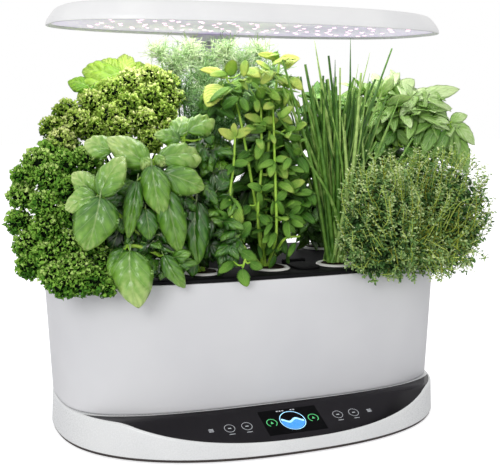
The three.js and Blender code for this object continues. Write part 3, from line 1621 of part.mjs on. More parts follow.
const THAI_BASIL = {
  stem: 1.9,
  width: 18,
  thickness: 3,
  droop: 4,
  tipShares: [
    [2.22, 0, 0.76],
    [2.49, -0.08, 0.76],
    [2.59, -0.24, 0.74],
    [3.07, -0.57, 0.62],
  ],
  leafShares: [
    [0, 1, 2.04, 0.05, 0.85, 0.8],
    [0, 1, 2.39, -0.05, 0.86, 0.9],
    [1, 0.99, 2.35, 0, 0.87, 0.75],
    [1, 0.99, 2.64, -0.16, 0.83, 0.95],
    [2, 1, 2.45, -0.19, 0.81, 0.8],
    [2, 1, 3.19, -0.57, 0.77, 1],
    [2, 0.98, 2.8, -0.35, 0.79, 0.83],
    [3, 0.97, 3.08, -0.54, 0.7, 0.83],
    [3, 0.92, 2.47, -0.3, 0.6, 0.83],
    [3, 0.96, 2.54, -0.54, 0.49, 1],
    [3, 1, 3.44, -0.6, 0.53, 1],
    [3, 0.99, 3.3, -0.59, 0.67, 0.75],
    [3, 0.99, 3.09, -0.58, 0.44, 0.9],
    [3, 1, 3.36, -0.56, 0.4, 1],
    [3, 0.97, 2.78, -0.57, 0.46, 0.83],
    [1, 0.89, 1.91, -0.08, 0.62, 0.8],
    [1, 0.89, 2.43, -0.14, 0.62, 0.8],
    [2, 0.85, 2.14, -0.19, 0.51, 0.8],
    [2, 0.85, 2.58, -0.24, 0.52, 0.8],
    [0, 0.95, 1.95, 0.14, 0.8, 0.65],
    [3, 0.8, 2.66, -0.35, 0.44, 0.8],
    [2, 0.79, 1.99, -0.14, 0.46, 0.8],
  ],
};

// The herbs in pod order: five along the front, then four along the back
const HERBS = [
  { name: 'parsley_front', finish: FINISH.parsley, grow: tuftedHerb, size: PARSLEY_FRONT },
  { name: 'basil_front', finish: FINISH.basil, grow: openHerb, size: BASIL_FRONT },
  { name: 'mint', finish: FINISH.mint, grow: leafyHerb, size: MINT },
  { name: 'chives', finish: FINISH.chives, grow: bladeHerb, size: CHIVES },
  { name: 'thyme', finish: FINISH.thyme, grow: sprigHerb, size: THYME },
  {
    name: 'parsley_back',
    finish: FINISH.parsley,
    grow: bushHerb,
    size: { ...PARSLEY, middleShares: [-1.95, 0.34, 0.68], reachShares: [0.85, 0.4, 0.17] },
  },
  { name: 'basil_back', finish: FINISH.basil, grow: bushHerb, size: BASIL_BACK },
  { name: 'dill', finish: FINISH.dill, grow: sprayHerb, size: DILL },
  { name: 'thai_basil', finish: FINISH.thaiBasil, grow: openHerb, size: THAI_BASIL },
];

// A herb cut to its plot and kept as the one body that grows from the pod
function herb({ name, grow, size }, [x, y], space) {
  const foot = new THREE.Vector3(x, y, HEIGHT.plantFoot + FIT.gap);
  const whole = cut(grow(foot, size).intersect(plot(name)), space);
  return whole.decompose().reduce((best, part) => (part.volume() > best.volume() ? part : best));
}

// The assembly, a group for each body that moves on its own

const garden = new THREE.Group();
const mastMiddleBody = new THREE.Group();
const hoodBody = new THREE.Group();
const flapBody = new THREE.Group();
const impellerBody = new THREE.Group();
const floatBody = new THREE.Group();
garden.add(mastMiddleBody, flapBody, impellerBody, floatBody);
mastMiddleBody.add(hoodBody);

function add(group, name, shape, finish) {
  const mesh = new THREE.Mesh(geometryOf(shape), new THREE.MeshStandardMaterial(finish));
  mesh.name = name;
  group.add(mesh);
}

add(garden, 'base_pan', basePan(), FINISH.trim);
add(garden, 'base_shell', baseShell(), FINISH.shell);
add(garden, 'control_panel', controlPanel(), FINISH.panel);
add(
  garden,
  'display_window',
  panelPlate(DISPLAY.width, DISPLAY.height, FIT.running, 0, DISPLAY.windowThickness),
  FINISH.glass,
);
add(garden, 'display_module', displayModule(), FINISH.steel);
add(garden, 'touch_board', touchBoard(), FINISH.board);
add(garden, 'main_board', mainBoard(), FINISH.board);
add(garden, 'power_inlet', powerInlet(), FINISH.rubber);
footPlaces().forEach(([x, y], i) => add(garden, `foot_${i + 1}`, foot(x, y), FINISH.rubber));
add(garden, 'mast_socket', mastSocket(), FINISH.shell);
screwPlaces().forEach(([x, y], i) => add(garden, `mast_screw_${i + 1}`, mastScrew(x, y), FINISH.steel));
add(garden, 'mast_outer', mastTube(OUTER_GROW, OUTER_BOTTOM, MAST.outerHeight), FINISH.mast);

add(garden, 'bowl', bowl(), FINISH.bowl);
add(garden, 'grow_deck', growDeck(), FINISH.deck);
add(garden, 'cover_pin', coverPin(), FINISH.steel);
add(garden, 'pump_body', pumpBody(), FINISH.pump);
add(garden, 'pump_cover', pumpCover(), FINISH.pump);
add(garden, 'pump_filter', pumpFilter(), FINISH.foam);
add(garden, 'riser_tube', riserTube(), FINISH.pump);
add(garden, 'float_guide', floatGuide(), FINISH.basket);

const herbSpace = keepOut();
podPlaces().forEach(([x, y], i) => {
  add(garden, `pod_basket_${i + 1}`, podBasket(x, y), FINISH.basket);
  add(garden, `pod_sponge_${i + 1}`, podSponge(x, y), FINISH.sponge);
  add(garden, HERBS[i].name, herb(HERBS[i], [x, y], herbSpace), HERBS[i].finish);
});

add(flapBody, 'fill_cover', fillCover(), FINISH.deck);
add(impellerBody, 'pump_impeller', pumpImpeller(), FINISH.basket);
add(floatBody, 'water_float', waterFloat(), FINISH.float);

add(mastMiddleBody, 'mast_middle', mastTube(MIDDLE_GROW, MIDDLE_BOTTOM, MAST.middleHeight), FINISH.mast);
add(hoodBody, 'mast_inner', mastInner(), FINISH.mast);
add(hoodBody, 'hood_bracket', hoodBracket(), FINISH.mast);
add(hoodBody, 'hood_shell', hoodShell(), FINISH.hood);
add(hoodBody, 'led_panel', ledPanel(), FINISH.lamp);
add(hoodBody, 'heat_sink', heatSink(), FINISH.aluminium);

export default garden;
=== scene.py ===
"""Looks of a countertop hydroponic garden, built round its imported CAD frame.

The frame gives every hard piece its place. This script remakes the big mouldings with
finer outlines, rounds the edges of the small hardware, grows the nine herbs and sets up
the studio. Sizes are in millimetres until a mesh is made.
"""

import logging
import math
from dataclasses import dataclass, field, replace
from enum import Enum
from functools import cache
from typing import Any, Iterable, Optional, Sequence

import bmesh
import bpy
import numpy as np
from mathutils import Matrix, Vector


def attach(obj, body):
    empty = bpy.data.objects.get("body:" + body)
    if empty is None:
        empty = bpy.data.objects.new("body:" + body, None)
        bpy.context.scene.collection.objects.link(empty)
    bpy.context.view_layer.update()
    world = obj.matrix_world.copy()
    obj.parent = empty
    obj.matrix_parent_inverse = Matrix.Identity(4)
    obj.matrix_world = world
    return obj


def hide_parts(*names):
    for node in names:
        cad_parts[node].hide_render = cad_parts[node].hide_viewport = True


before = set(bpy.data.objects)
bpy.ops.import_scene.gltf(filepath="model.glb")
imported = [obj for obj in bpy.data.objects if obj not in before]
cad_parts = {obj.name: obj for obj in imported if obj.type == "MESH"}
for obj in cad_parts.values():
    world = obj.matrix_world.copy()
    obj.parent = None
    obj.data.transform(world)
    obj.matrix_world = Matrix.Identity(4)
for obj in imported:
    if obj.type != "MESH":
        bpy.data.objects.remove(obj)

log = logging.getLogger("garden")
MM = 0.001
# Seed of the scatter tree's own chance
SCATTER_SEED = 11
Point = Sequence[float]
Pair = tuple[float, float]
Solid = tuple[np.ndarray, list]
Mesh = bpy.types.Mesh
Tree = bpy.types.NodeTree
Socket = bpy.types.NodeSocket
Chance = np.random.Generator


# Colours and nodes


def linear(code: str) -> tuple[float, float, float, float]:
    """Turns an sRGB hex colour into the linear colour that a shader takes.

    Args:
        code: The colour as #rrggbb.

    Returns:
        Red, green, blue and an alpha of one.
    """
    shares = [int(code[i : i + 2], 16) / 255 for i in (1, 3, 5)]
    bent = [c / 12.92 if c <= 0.04045 else ((c + 0.055) / 1.055) ** 2.4 for c in shares]
    return (*bent, 1.0)


def socket(sockets: Iterable[Socket], key: Any) -> Socket:
    """Finds a node's socket.

    Args:
        sockets: The node's inputs or outputs.
        key: The socket's name, or its place in the list.

    Returns:
        The first enabled socket of that name, or the one at that place.
    """
    if isinstance(key, int):
        return sockets[key]
    return next(s for s in sockets if s.name == key and s.enabled)


def node(tree: Tree, kind: str, inputs: Optional[dict] = None, **settings: Any) -> bpy.types.Node:
    """Adds a node with its settings, values and links.

    Args:
        tree: The tree that gets the node.
        kind: The node's type name.
        inputs: Socket name or place to a value, or to the output that feeds it.
        **settings: Properties of the node itself.

    Returns:
        The new node.
    """
    made = tree.nodes.new(kind)
    for name, value in settings.items():
        setattr(made, name, value)
    for key, value in (inputs or {}).items():
        target = socket(made.inputs, key)
        if isinstance(value, Socket):
            tree.links.new(value, target)
        else:
            target.default_value = value
    return made


def blended(tree: Tree, share: Any, low: Any, high: Any) -> Socket:
    """Mixes two colours by a share that runs from zero to one."""
    mixed = node(tree, "ShaderNodeMix", {"Factor": share, "A": low, "B": high}, data_type="RGBA")
    return socket(mixed.outputs, "Result")


def spanned(tree: Tree, value: Any, source: Point, target: Point) -> Socket:
    """Maps a value from one range to another, held at both ends."""
    keys = ("Value", "From Min", "From Max", "To Min", "To Max")
    return node(tree, "ShaderNodeMapRange", dict(zip(keys, (value, *source, *target)))).outputs[0]


def arithmetic(tree: Tree, operation: str, *values: Any) -> Socket:
    """The output of one maths node over values and outputs."""
    return node(tree, "ShaderNodeMath", dict(enumerate(values)), operation=operation).outputs[0]


def attribute(tree: Tree, name: str) -> bpy.types.Node:
    """A node that reads an attribute which the mesh carries."""
    return node(tree, "ShaderNodeAttribute", attribute_name=name)


def noise(tree: Tree, place: Socket, size: float, detail: float = 2.0) -> Socket:
    """Noise with grains of a size in millimetres."""
    inputs = {"Vector": place, "Scale": 1 / (size * MM), "Detail": detail}
    return node(tree, "ShaderNodeTexNoise", inputs).outputs[0]


def ramped(tree: Tree, value: Socket, tones: Sequence[str]) -> Socket:
    """A colour that runs through hex tones as a value goes from zero to one.

    Args:
        tree: The material's tree.
        value: The output that picks the tone.
        tones: The colours, evenly spaced.

    Returns:
        The colour's output.
    """
    ramp = node(tree, "ShaderNodeValToRGB", {0: value})
    stops = ramp.color_ramp.elements
    while len(stops) < len(tones):
        stops.new(1.0)
    for i, code in enumerate(tones):
        stops[i].position = i / (len(tones) - 1)
        stops[i].color = linear(code)
    return ramp.outputs[0]


def principled(tree: Tree, inputs: dict) -> Socket:
    """The output of a principled shader with these values and links."""
    return node(tree, "ShaderNodeBsdfPrincipled", inputs).outputs[0]


def bare_material(name: str) -> tuple[bpy.types.Material, Tree]:
    """A new material and its emptied tree."""
    made = bpy.data.materials.new(name)
    made.use_nodes = True
    made.node_tree.nodes.clear()
    return made, made.node_tree


def linked(name: str, data: Any) -> bpy.types.Object:
    """A new object over its data, put in the scene."""
    made = bpy.data.objects.new(name, data)
    bpy.context.scene.collection.objects.link(made)
    return made


# Finishes


class Grain(Enum):
    """How the fine relief of a hard surface runs."""

    EVEN = (1.0, 1.0, 1.0)
    UPRIGHT = (1.0, 1.0, 0.04)
    ACROSS = (0.04, 1.0, 1.0)


@dataclass(frozen=True)
class Surface:
    """A hard finish with two close tones and a fine relief.

    Attributes:
        name: The real material.
        tone: The main colour.
        shade: The second colour, that broad patches lean to.
        roughness: Roughness in the smoothest and the roughest patch.
        patch: Size of a patch in millimetres.
        grain: Size of the relief in millimetres.
        relief: Depth of the relief in millimetres.
        run: The way the relief runs.
        metallic: One for bare metal.
        specular: Level of the clear reflection.
        coat: Weight of a lacquer over the finish.
        glow: Strength of the light that the surface gives off.
    """

    name: str
    tone: str
    shade: str
    roughness: Pair = (0.35, 0.45)
    patch: float = 70.0
    grain: float = 1.2
    relief: float = 0.015
    run: Grain = Grain.EVEN
    metallic: float = 0.0
    specular: float = 0.5
    coat: float = 0.0
    glow: float = 0.0

    @cache
    def make(self) -> bpy.types.Material:
        """Builds the material, once for every finish.

        Returns:
            The material.
        """
        material, tree = bare_material(self.name)
        place = node(tree, "ShaderNodeTexCoord").outputs["Object"]
        run = node(tree, "ShaderNodeMapping", {"Vector": place, "Scale": self.run.value}).outputs[0]
        broad, fine = noise(tree, place, self.patch, 3.0), noise(tree, run, self.grain)
        share = spanned(tree, broad, (0.35, 0.65), (0.0, 1.0))
        colour = blended(tree, share, linear(self.tone), linear(self.shade))
        rough = spanned(tree, arithmetic(tree, "ADD", broad, fine), (0.7, 1.3), self.roughness)
        relief = {"Height": fine, "Distance": self.relief * MM, "Strength": 1.0}
        inputs = {"Base Color": colour, "Roughness": rough, "Metallic": self.metallic}
        inputs |= {"Specular IOR Level": self.specular, "Coat Weight": self.coat}
        inputs |= {"Emission Color": colour, "Emission Strength": self.glow}
        inputs["Normal"] = node(tree, "ShaderNodeBump", relief).outputs[0]
        node(tree, "ShaderNodeOutputMaterial", {"Surface": principled(tree, inputs)})
        return material


@dataclass(frozen=True)
class LeafFinish:
    """A living leaf: its tone runs with the leaf's own tone attribute, its veins with its UV.

    Attributes:
        name: The kind of leaf.
        tones: Colours from the darkest leaf to the lightest.
        veins: Side veins on each half, none for a plain leaf.
        vein: Colour of the midrib and side veins.
        roughness: Roughness of the leaf's skin.
        fresh: How far the tip is lighter than the foot.
        through: Share of the light that comes through the leaf.
        patch: Size in millimetres of the mottling.
        mottle: How far the mottling changes the tone.
        relief: Height in millimetres of the puckers between the side veins.
        specular: Level of the clear reflection.
    """

    name: str
    tones: tuple[str, ...]
    veins: float = 0.0
    vein: str = "#C6DE92"
    roughness: float = 0.6
    fresh: float = 0.3
    through: float = 0.2
    patch: float = 6.0
    mottle: float = 0.16
    relief: float = 0.4
    specular: float = 0.2

    @cache
    def make(self) -> bpy.types.Material:
        """Builds the material, once for every finish.

        Returns:
            The material.
        """
        material, tree = bare_material(self.name)
        place = node(tree, "ShaderNodeTexCoord").outputs["Object"]
        mottle = noise(tree, place, self.patch, 3.0)
        stray = spanned(tree, mottle, (0.3, 0.7), (-self.mottle, self.mottle))
        mixed = arithmetic(tree, "ADD", attribute(tree, "tone").outputs["Fac"], stray)
        relief = {"Height": mottle, "Distance": 0.15 * MM, "Strength": 0.6}
        if self.veins:
            place_on_leaf = attribute(tree, "blade").outputs["Vector"]
            skin = node(tree, "ShaderNodeSeparateXYZ", {0: place_on_leaf}).outputs
            side = arithmetic(tree, "ABSOLUTE", arithmetic(tree, "SUBTRACT", skin[0], 0.5))
            rib = spanned(tree, side, (0.008, 0.026), (1.0, 0.0))
            along = arithmetic(tree, "MULTIPLY", arithmetic(tree, "SUBTRACT", skin[1], side), self.veins)
            wave = arithmetic(tree, "PINGPONG", along, 0.5)
            lines = arithmetic(tree, "MAXIMUM", rib, spanned(tree, wave, (0.015, 0.06), (0.6, 0.0)))
            # Painted shade by the veins and painted highlight between them, lighter towards the tip
            quilt = spanned(tree, wave, (0.0, 0.4), (-0.09, 0.05))
            growth = spanned(tree, skin[1], (0.0, 1.0), (-self.fresh / 2, self.fresh / 2))
            mixed = arithmetic(tree, "ADD", mixed, arithmetic(tree, "ADD", quilt, growth))
            dome = spanned(tree, wave, (0.0, 0.35), (0.0, 1.0))
            relief["Height"] = arithmetic(tree, "ADD", arithmetic(tree, "MULTIPLY", mottle, 0.6), dome)
            relief["Distance"] = self.relief * MM
        colour = ramped(tree, mixed, self.tones)
        if self.veins:
            colour = blended(tree, arithmetic(tree, "MULTIPLY", lines, 0.4), colour, linear(self.vein))
        bump = node(tree, "ShaderNodeBump", relief).outputs[0]
        inputs = {"Base Color": colour, "Roughness": self.roughness, "Normal": bump}
        shader = principled(tree, inputs | {"Specular IOR Level": self.specular})
        if self.through:
            lit = blended(tree, 0.35, colour, linear("#D7E86A"))
            glow = node(tree, "ShaderNodeBsdfTranslucent", {"Color": lit, "Normal": bump}).outputs[0]
            shader = node(tree, "ShaderNodeMixShader", {0: self.through, 1: shader, 2: glow}).outputs[0]
        node(tree, "ShaderNodeOutputMaterial", {"Surface": shader})
        return material


@dataclass(frozen=True)
class LampLight:
    """The lens of a lamp or a lit mark: a glow whose colour runs with the tone attribute.

    Attributes:
        name: The real thing.
        tones: Colours from tone zero to tone one.
        strength: Strength of the glow.
    """

    name: str
    tones: tuple[str, ...]
    strength: float = 1.0

    @cache
    def make(self) -> bpy.types.Material:
        """Builds the material, once for every finish.

        Returns:
            The material.
        """
        material, tree = bare_material(self.name)
        tone = ramped(tree, attribute(tree, "tone").outputs["Fac"], self.tones)
        grain = noise(tree, node(tree, "ShaderNodeTexCoord").outputs["Object"], 1.5)
        colour = blended(tree, spanned(tree, grain, (0.3, 0.7), (0.0, 0.06)), tone, (1, 1, 1, 1))
        inputs = {"Base Color": colour, "Roughness": 0.3, "Emission Color": colour}
        shader = principled(tree, inputs | {"Emission Strength": self.strength})
        node(tree, "ShaderNodeOutputMaterial", {"Surface": shader})
        return material


Finish = Surface | LeafFinish | LampLight

# Satin white ABS of the base: bright, with a clear highlight along its lip
SHELL = Surface("white_satin_abs", "#DDDEDE", "#D6D7D8", (0.24, 0.32), relief=0.008, coat=0.15)
# Pale grey ABS of the bowl: flatter than the base, faintly mottled by the moulding
BOWL_GREY = Surface(
    "pale_grey_abs", "#D6D6D8", "#CFCFD2", (0.4, 0.5), patch=120.0, relief=0.01, specular=0.35
)
# White ABS of the hood: the brightest moulding, satin on its crown
HOOD_WHITE = Surface("white_hood_abs", "#E4E4E4", "#DDDDDE", (0.34, 0.42), relief=0.008, specular=0.4)
# Dark moulded trim, a brown-black line under the base
TRIM = Surface("dark_trim_abs", "#2B2321", "#3A302C", (0.5, 0.65), grain=0.8, relief=0.03)
# Piano-black acrylic of the control panel: low clear reflection, so it stays black
PIANO_BLACK = Surface(
    "piano_black_acrylic", "#18161A", "#1E1C20", (0.08, 0.16), patch=90.0, relief=0.002, specular=0.12
)
# Black display glass: deeper than the panel round it
DISPLAY_GLASS = Surface(
    "black_display_glass", "#020203", "#050507", (0.04, 0.08), relief=0.001, specular=0.05
)
# Black grow deck with a fine spark-eroded grain
DECK_BLACK = Surface(
    "black_grained_pp", "#0B0B0C", "#121214", (0.6, 0.75), grain=0.9, relief=0.04, specular=0.12
)
# Fine mould-textured off-white of the pod baskets
BASKET_WHITE = Surface("off_white_pp", "#EDEDE8", "#E0E0DA", (0.45, 0.55), relief=0.02)
# Damp peat sponge: crumbly and dark
PEAT = Surface(
    "damp_peat_sponge", "#33241A", "#1E150F", (0.8, 0.95), patch=3.0, grain=1.4, relief=0.6, specular=0.2
)
# Lilac-grey painted extrusion of the mast, with faint draw lines up its length
MAST_PAINT = Surface(
    "painted_extrusion", "#C4C2CC", "#B6B4BF", (0.3, 0.42), grain=1.0, relief=0.01, run=Grain.UPRIGHT
)
# White lamp panel: a faint lilac glow painted between its lamps, the light that they spill on the board
LAMP_PANEL = Surface("lamp_panel_white", "#E2DAEE", "#D6CEE6", (0.45, 0.6), relief=0.02, glow=0.45)
# Bare extruded aluminium of the heat sink, drawn along its fins
BARE_ALUMINIUM = Surface(
    "extruded_aluminium", "#B8BBC0", "#A6A9AE", (0.3, 0.45), grain=0.8, run=Grain.ACROSS, metallic=1.0
)
# Bright steel of the pins and screws
STEEL = Surface("bright_steel", "#B7B9BD", "#A4A7AB", (0.2, 0.32), grain=0.5, relief=0.004, metallic=1.0)
# Soft black rubber feet with a dusty bloom
RUBBER = Surface("black_rubber", "#1D1D1E", "#2A2A2B", (0.75, 0.9), grain=0.7, relief=0.05, specular=0.25)
# Green solder mask of the circuit boards, with paler tracks showing through
SOLDER_MASK = Surface("solder_mask", "#1F5034", "#2B6A45", (0.3, 0.5), patch=5.0, relief=0.03)
# Black moulded power socket
SOCKET_BLACK = Surface("black_socket_nylon", "#121213", "#1C1C1E", (0.45, 0.6), relief=0.03)
# Dark grey glass-filled moulding of the pump
PUMP_GREY = Surface("glass_filled_nylon", "#26282B", "#313438", (0.5, 0.7), grain=0.6, relief=0.05)
# Open-cell filter foam, deeply pitted
FOAM = Surface(
    "open_cell_foam", "#2C3036", "#1C1F23", (0.85, 1.0), patch=4.0, grain=1.6, relief=0.9, specular=0.1
)
# Orange moulded float
FLOAT_ORANGE = Surface("orange_float_pp", "#DC7430", "#CE6828", (0.4, 0.5), relief=0.01)
# Matt dark plastic of the display module's case
MODULE_CASE = Surface("display_module_case", "#1A1B1D", "#232427", (0.5, 0.6), relief=0.03)

# Curly parsley: matt, with painted shade in its folds and painted light on its frilled tips
PARSLEY_LEAF = LeafFinish("curly_parsley", ("#264A0E", "#508C2A", "#96C64E", "#D6EE92"), specular=0.15)
# Crown of the back parsley: cream green, partly its own tone, partly the lamp's light painted on
PARSLEY_CROWN = LeafFinish("parsley_crown", ("#344F10", "#769E30", "#BCD860", "#F0F6AC"), through=0.25)
# Sweet basil: glossy, puckered between pale veins
BASIL_LEAF = LeafFinish(
    "sweet_basil", ("#0E2606", "#367018", "#7CB03A", "#D0E690"), 4.0, roughness=0.33, specular=0.9,
    mottle=0.07, fresh=0.5, relief=0.7,
)
# Young basil at the back, yellow-green in the lamp light
YOUNG_BASIL = LeafFinish(
    "young_basil", ("#3E7614", "#74AE28", "#A8D044", "#D6EE78"), 5.0, "#DFF2A0", roughness=0.3,
    through=0.35, specular=0.5, mottle=0.06, relief=1.1,
)
# Mint: matt and wrinkled, from deep green for painted shade to a yellow that paints the lamp's light
MINT_LEAF = LeafFinish(
    "spearmint", ("#10300A", "#427A1E", "#88BC48", "#D8E472"), 7.0, "#B4D276", roughness=0.45,
    through=0.25, specular=0.35, mottle=0.08, relief=0.7,
)
# Chive blade: smooth and tubular
CHIVE_SKIN = LeafFinish(
    "chive_skin", ("#1A3A0C", "#3E6A1E", "#6E9A3C", "#B0CC74"), roughness=0.38, through=0.08, specular=0.35
)
# Thyme: tiny grey-green leaves
THYME_LEAF = LeafFinish("thyme_foliage", ("#162C0E", "#4E7A3C", "#98BE70", "#E0EEAE"), through=0.15)
# Woody thyme stem, straw to orange brown
THYME_WOOD = LeafFinish("thyme_wood", ("#8A6A2C", "#A0A83C", "#B0C850", "#CCDE74"), through=0.0)
# Dill threads: blue-green with a waxy bloom
DILL_THREAD = LeafFinish("dill_threads", ("#35642C", "#76A860", "#B4D694", "#E8F4CC"), roughness=0.55)
# Thai basil: light, pointed and thin
THAI_LEAF = LeafFinish(
    "thai_basil_blade", ("#1E4A0E", "#5C9434", "#A2CC6A", "#E2F4C0"), 5.0, "#DCEEB6", roughness=0.36,
    through=0.35, specular=0.5, mottle=0.1,
)
# Juicy green stems
GREEN_STEM = LeafFinish(
    "green_stem", ("#2C5A14", "#5F9226", "#93C23C", "#BFDC62"), roughness=0.45, through=0.1, specular=0.3
)
# Dark heart of a bush, where hardly any light gets in
SHADED_HEART = LeafFinish(
    "shaded_heart", ("#061204", "#0D2208", "#17360E", "#224A14"), roughness=0.8, through=0.0, specular=0.1
)

# Lamp lenses: white, pink and blue
LED_GLOW = LampLight("led_lens", ("#FFFFFF", "#FFECF8", "#FF9FD0", "#7480FF"), 1.6)
# Lit marks under the panel's glass
MARK_GLOW = LampLight("lit_mark", ("#A2A5AA", "#33A85C", "#1D7FD6", "#9AD6F8"), 0.8)


# Meshes


@dataclass
class Shell:
    """Points in millimetres and their faces, gathered before a mesh is made.

    Attributes:
        points: Arrays of points.
        faces: Faces over all the points.
        tones: The tone of every point.
        count: Points so far.
    """

    points: list[np.ndarray] = field(default_factory=list)
    faces: list[tuple[int, ...]] = field(default_factory=list)
    tones: list[float] = field(default_factory=list)
    count: int = 0

    def add(self, part: Solid, tone: float = 0.5) -> "Shell":
        """Adds points and faces.

        Args:
            part: The points and the faces over them.
            tone: The tone that the points carry.

        Returns:
            This shell.
        """
        points, faces = part
        self.points.append(np.asarray(points, float))
        self.faces.extend(tuple(int(i) + self.count for i in face) for face in faces)
        self.tones.extend([tone] * len(points))
        self.count += len(points)
        return self

    def mesh(self, name: str, weld: float = 0.001) -> Mesh:
        """Turns what was gathered into a mesh in metres, with its doubles merged.

        Args:
            name: The mesh's name.
            weld: Distance in millimetres under which points are one.

        Returns:
            The mesh.
        """
        made = bpy.data.meshes.new(name)
        made.from_pydata((np.vstack(self.points) * MM).tolist(), [], self.faces)
        layer = made.attributes.new("tone", "FLOAT", "POINT")
        layer.data.foreach_set("value", np.asarray(self.tones, np.float32))
        welded(made, weld * MM)
        return made


def welded(mesh: Mesh, distance: float) -> None:
    """Merges a mesh's doubles and drops the faces that this folds flat.

    Args:
        mesh: The mesh, changed in place.
        distance: Distance in metres under which points are one.
    """
    work = bmesh.new()
    work.from_mesh(mesh)
    bmesh.ops.remove_doubles(work, verts=work.verts, dist=distance)
    bmesh.ops.dissolve_degenerate(work, edges=work.edges, dist=distance)
    work.to_mesh(mesh)
    work.free()


def smoothed(mesh: Mesh, degrees: float) -> None:
    """Shades a mesh smooth, except over edges sharper than an angle."""
    mesh.shade_smooth()
    mesh.set_sharp_from_angle(angle=math.radians(degrees))


def ring(
    width: float, depth: float, power: float, z: float, centre_y: float = 0.0, steps: int = 384
) -> np.ndarray:
    """One loop of a superellipse, stepped by the angle at its middle.

    Args:
        width: Size across x.
        depth: Size across y.
        power: Two for an ellipse, more for squarer corners.
        z: Height of the loop.
        centre_y: Middle of the loop.
        steps: Points round it.

    Returns:
        The points, counter-clockwise seen from above.
    """
    turn = np.linspace(0, 2 * np.pi, steps, endpoint=False)
    across, deep = np.cos(turn), np.sin(turn)
    reach = (np.abs(across * 2 / width) ** power + np.abs(deep * 2 / depth) ** power) ** (-1 / power)
    return np.column_stack([across * reach, centre_y + deep * reach, np.full(steps, float(z))])


def circle(radius: float, z: float, steps: int) -> np.ndarray:
    """One round loop about the upright axis."""
    return ring(2 * radius, 2 * radius, 2, z, 0, steps)


def loft(loops: Sequence[np.ndarray], caps: bool = True) -> Solid:
    """Joins closed loops with quads, and closes the ends on their middles.

    Args:
        loops: Loops of equal length; the skin faces outward when they climb.
        caps: Whether the ends are closed.

    Returns:
        The points and faces.
    """
    steps = len(loops[0])
    here = np.arange(steps)
    after = np.roll(here, -1)
    faces: list = []
    for low in range(0, (len(loops) - 1) * steps, steps):
        high = low + steps
        faces.extend(np.column_stack([low + here, low + after, high + after, high + here]).tolist())
    points = list(loops)
    if caps:
        total = len(loops) * steps
        top = total - steps
        points += [loops[0].mean(0)[None], loops[-1].mean(0)[None]]
        faces.extend([total, int(b), int(a)] for a, b in zip(here, after))
        faces.extend([total + 1, int(top + a), int(top + b)] for a, b in zip(here, after))
    return np.vstack(points), faces


def lofted(name: str, loops: Sequence[np.ndarray]) -> Mesh:
    """The mesh of one closed loft."""
    return Shell().add(loft(loops)).mesh(name)


def tube(path: Sequence[Point], radii: Sequence[float], sides: int) -> Solid:
    """A closed tube along a path.

    Args:
        path: Points of its middle line.
        radii: A radius for every point, or one for each end.
        sides: Sides round it.

    Returns:
        The points and faces.
    """
    line = np.asarray(path, float)
    count = len(line)
    thick = np.interp(np.linspace(0, 1, count), np.linspace(0, 1, len(radii)), radii)
    runs = np.gradient(line, axis=0)
    runs /= np.maximum(np.linalg.norm(runs, axis=1, keepdims=True), 1e-9)
    start = np.cross(runs[0], (0.3, 1.0, 0.2))
    side = start / max(np.linalg.norm(start), 1e-9)
    turn = np.linspace(0, 2 * np.pi, sides, endpoint=False)
    loops = []
    for i in range(count):
        side = side - runs[i] * (side @ runs[i])
        side /= max(np.linalg.norm(side), 1e-9)
        other = np.cross(runs[i], side)
        hoop = np.outer(np.cos(turn), side) + np.outer(np.sin(turn), other)
        loops.append(line[i] + thick[i] * hoop)
    return loft(loops)


def bowed(path: Sequence[Point], steps: int) -> np.ndarray:
    """A smooth curve through a few points.

    Args:
        path: The points it passes.
        steps: Points of the curve.

    Returns:
        The curve's points.
    """
    given = np.asarray(path, float)
    ends = np.vstack([2 * given[0] - given[1], given, 2 * given[-1] - given[-2]])
    spots = np.linspace(0, len(given) - 1, steps)
    made = []
    for spot in spots:
        i = min(int(spot), len(given) - 2)
        t = spot - i
        a, b, c, d = ends[i : i + 4]
        bend, twist = 2 * a - 5 * b + 4 * c - d, 3 * b - a - 3 * c + d
        made.append(0.5 * (2 * b + (c - a) * t + bend * t**2 + twist * t**3))
    return np.array(made)


def finished(mesh: Mesh, finish: Finish) -> None:
    """Gives a mesh one finish in place of its own."""
    mesh.materials.clear()
    mesh.materials.append(finish.make())


def evaluated(carrier: bpy.types.Object) -> Mesh:
    """Takes an object's mesh as its modifiers leave it, and removes the object.

    Args:
        carrier: The object that carries the modifiers.

    Returns:
        The plain mesh.
    """
    seen = carrier.evaluated_get(bpy.context.evaluated_depsgraph_get())
    made = bpy.data.meshes.new_from_object(seen)
    bpy.data.objects.remove(carrier)
    return made


def template(mesh: Mesh) -> Mesh:
    """Turns a mesh made in millimetres into a scatter template, one unit to the millimetre."""
    mesh.transform(Matrix.Scale(1 / MM, 4))
    return mesh


def piece(
    name: str,
    mesh: Mesh,
    finish: Optional[Finish],
    nodes: Sequence[str],
    body: str = "base",
    sharp: float = 32.0,
) -> bpy.types.Object:
    """Puts a finished mesh in the scene as a piece that stands for CAD nodes.

    Args:
        name: The piece's name.
        mesh: Its mesh, in metres.
        finish: Its finish, or None to keep the mesh's own materials.
        nodes: The CAD nodes it stands for.
        body: The body it rides on.
        sharp: Angle over which an edge stays sharp.

    Returns:
        The new object.
    """
    made = linked(name, mesh)
    if finish is not None:
        finished(mesh, finish)
    smoothed(mesh, sharp)
    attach(made, body)
    if nodes:
        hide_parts(*nodes)
    log.info("%s: %d faces", name, len(mesh.polygons))
    return made


def applied(mesh: Mesh, kind: str, **settings: Any) -> Mesh:
    """A mesh after one modifier.

    Args:
        mesh: The mesh before.
        kind: The modifier's type.
        **settings: The modifier's settings.

    Returns:
        The new mesh.
    """
    carrier = linked("carrier", mesh)
    modifier = carrier.modifiers.new("step", kind)
    for key, value in settings.items():
        setattr(modifier, key, value)
    return evaluated(carrier)


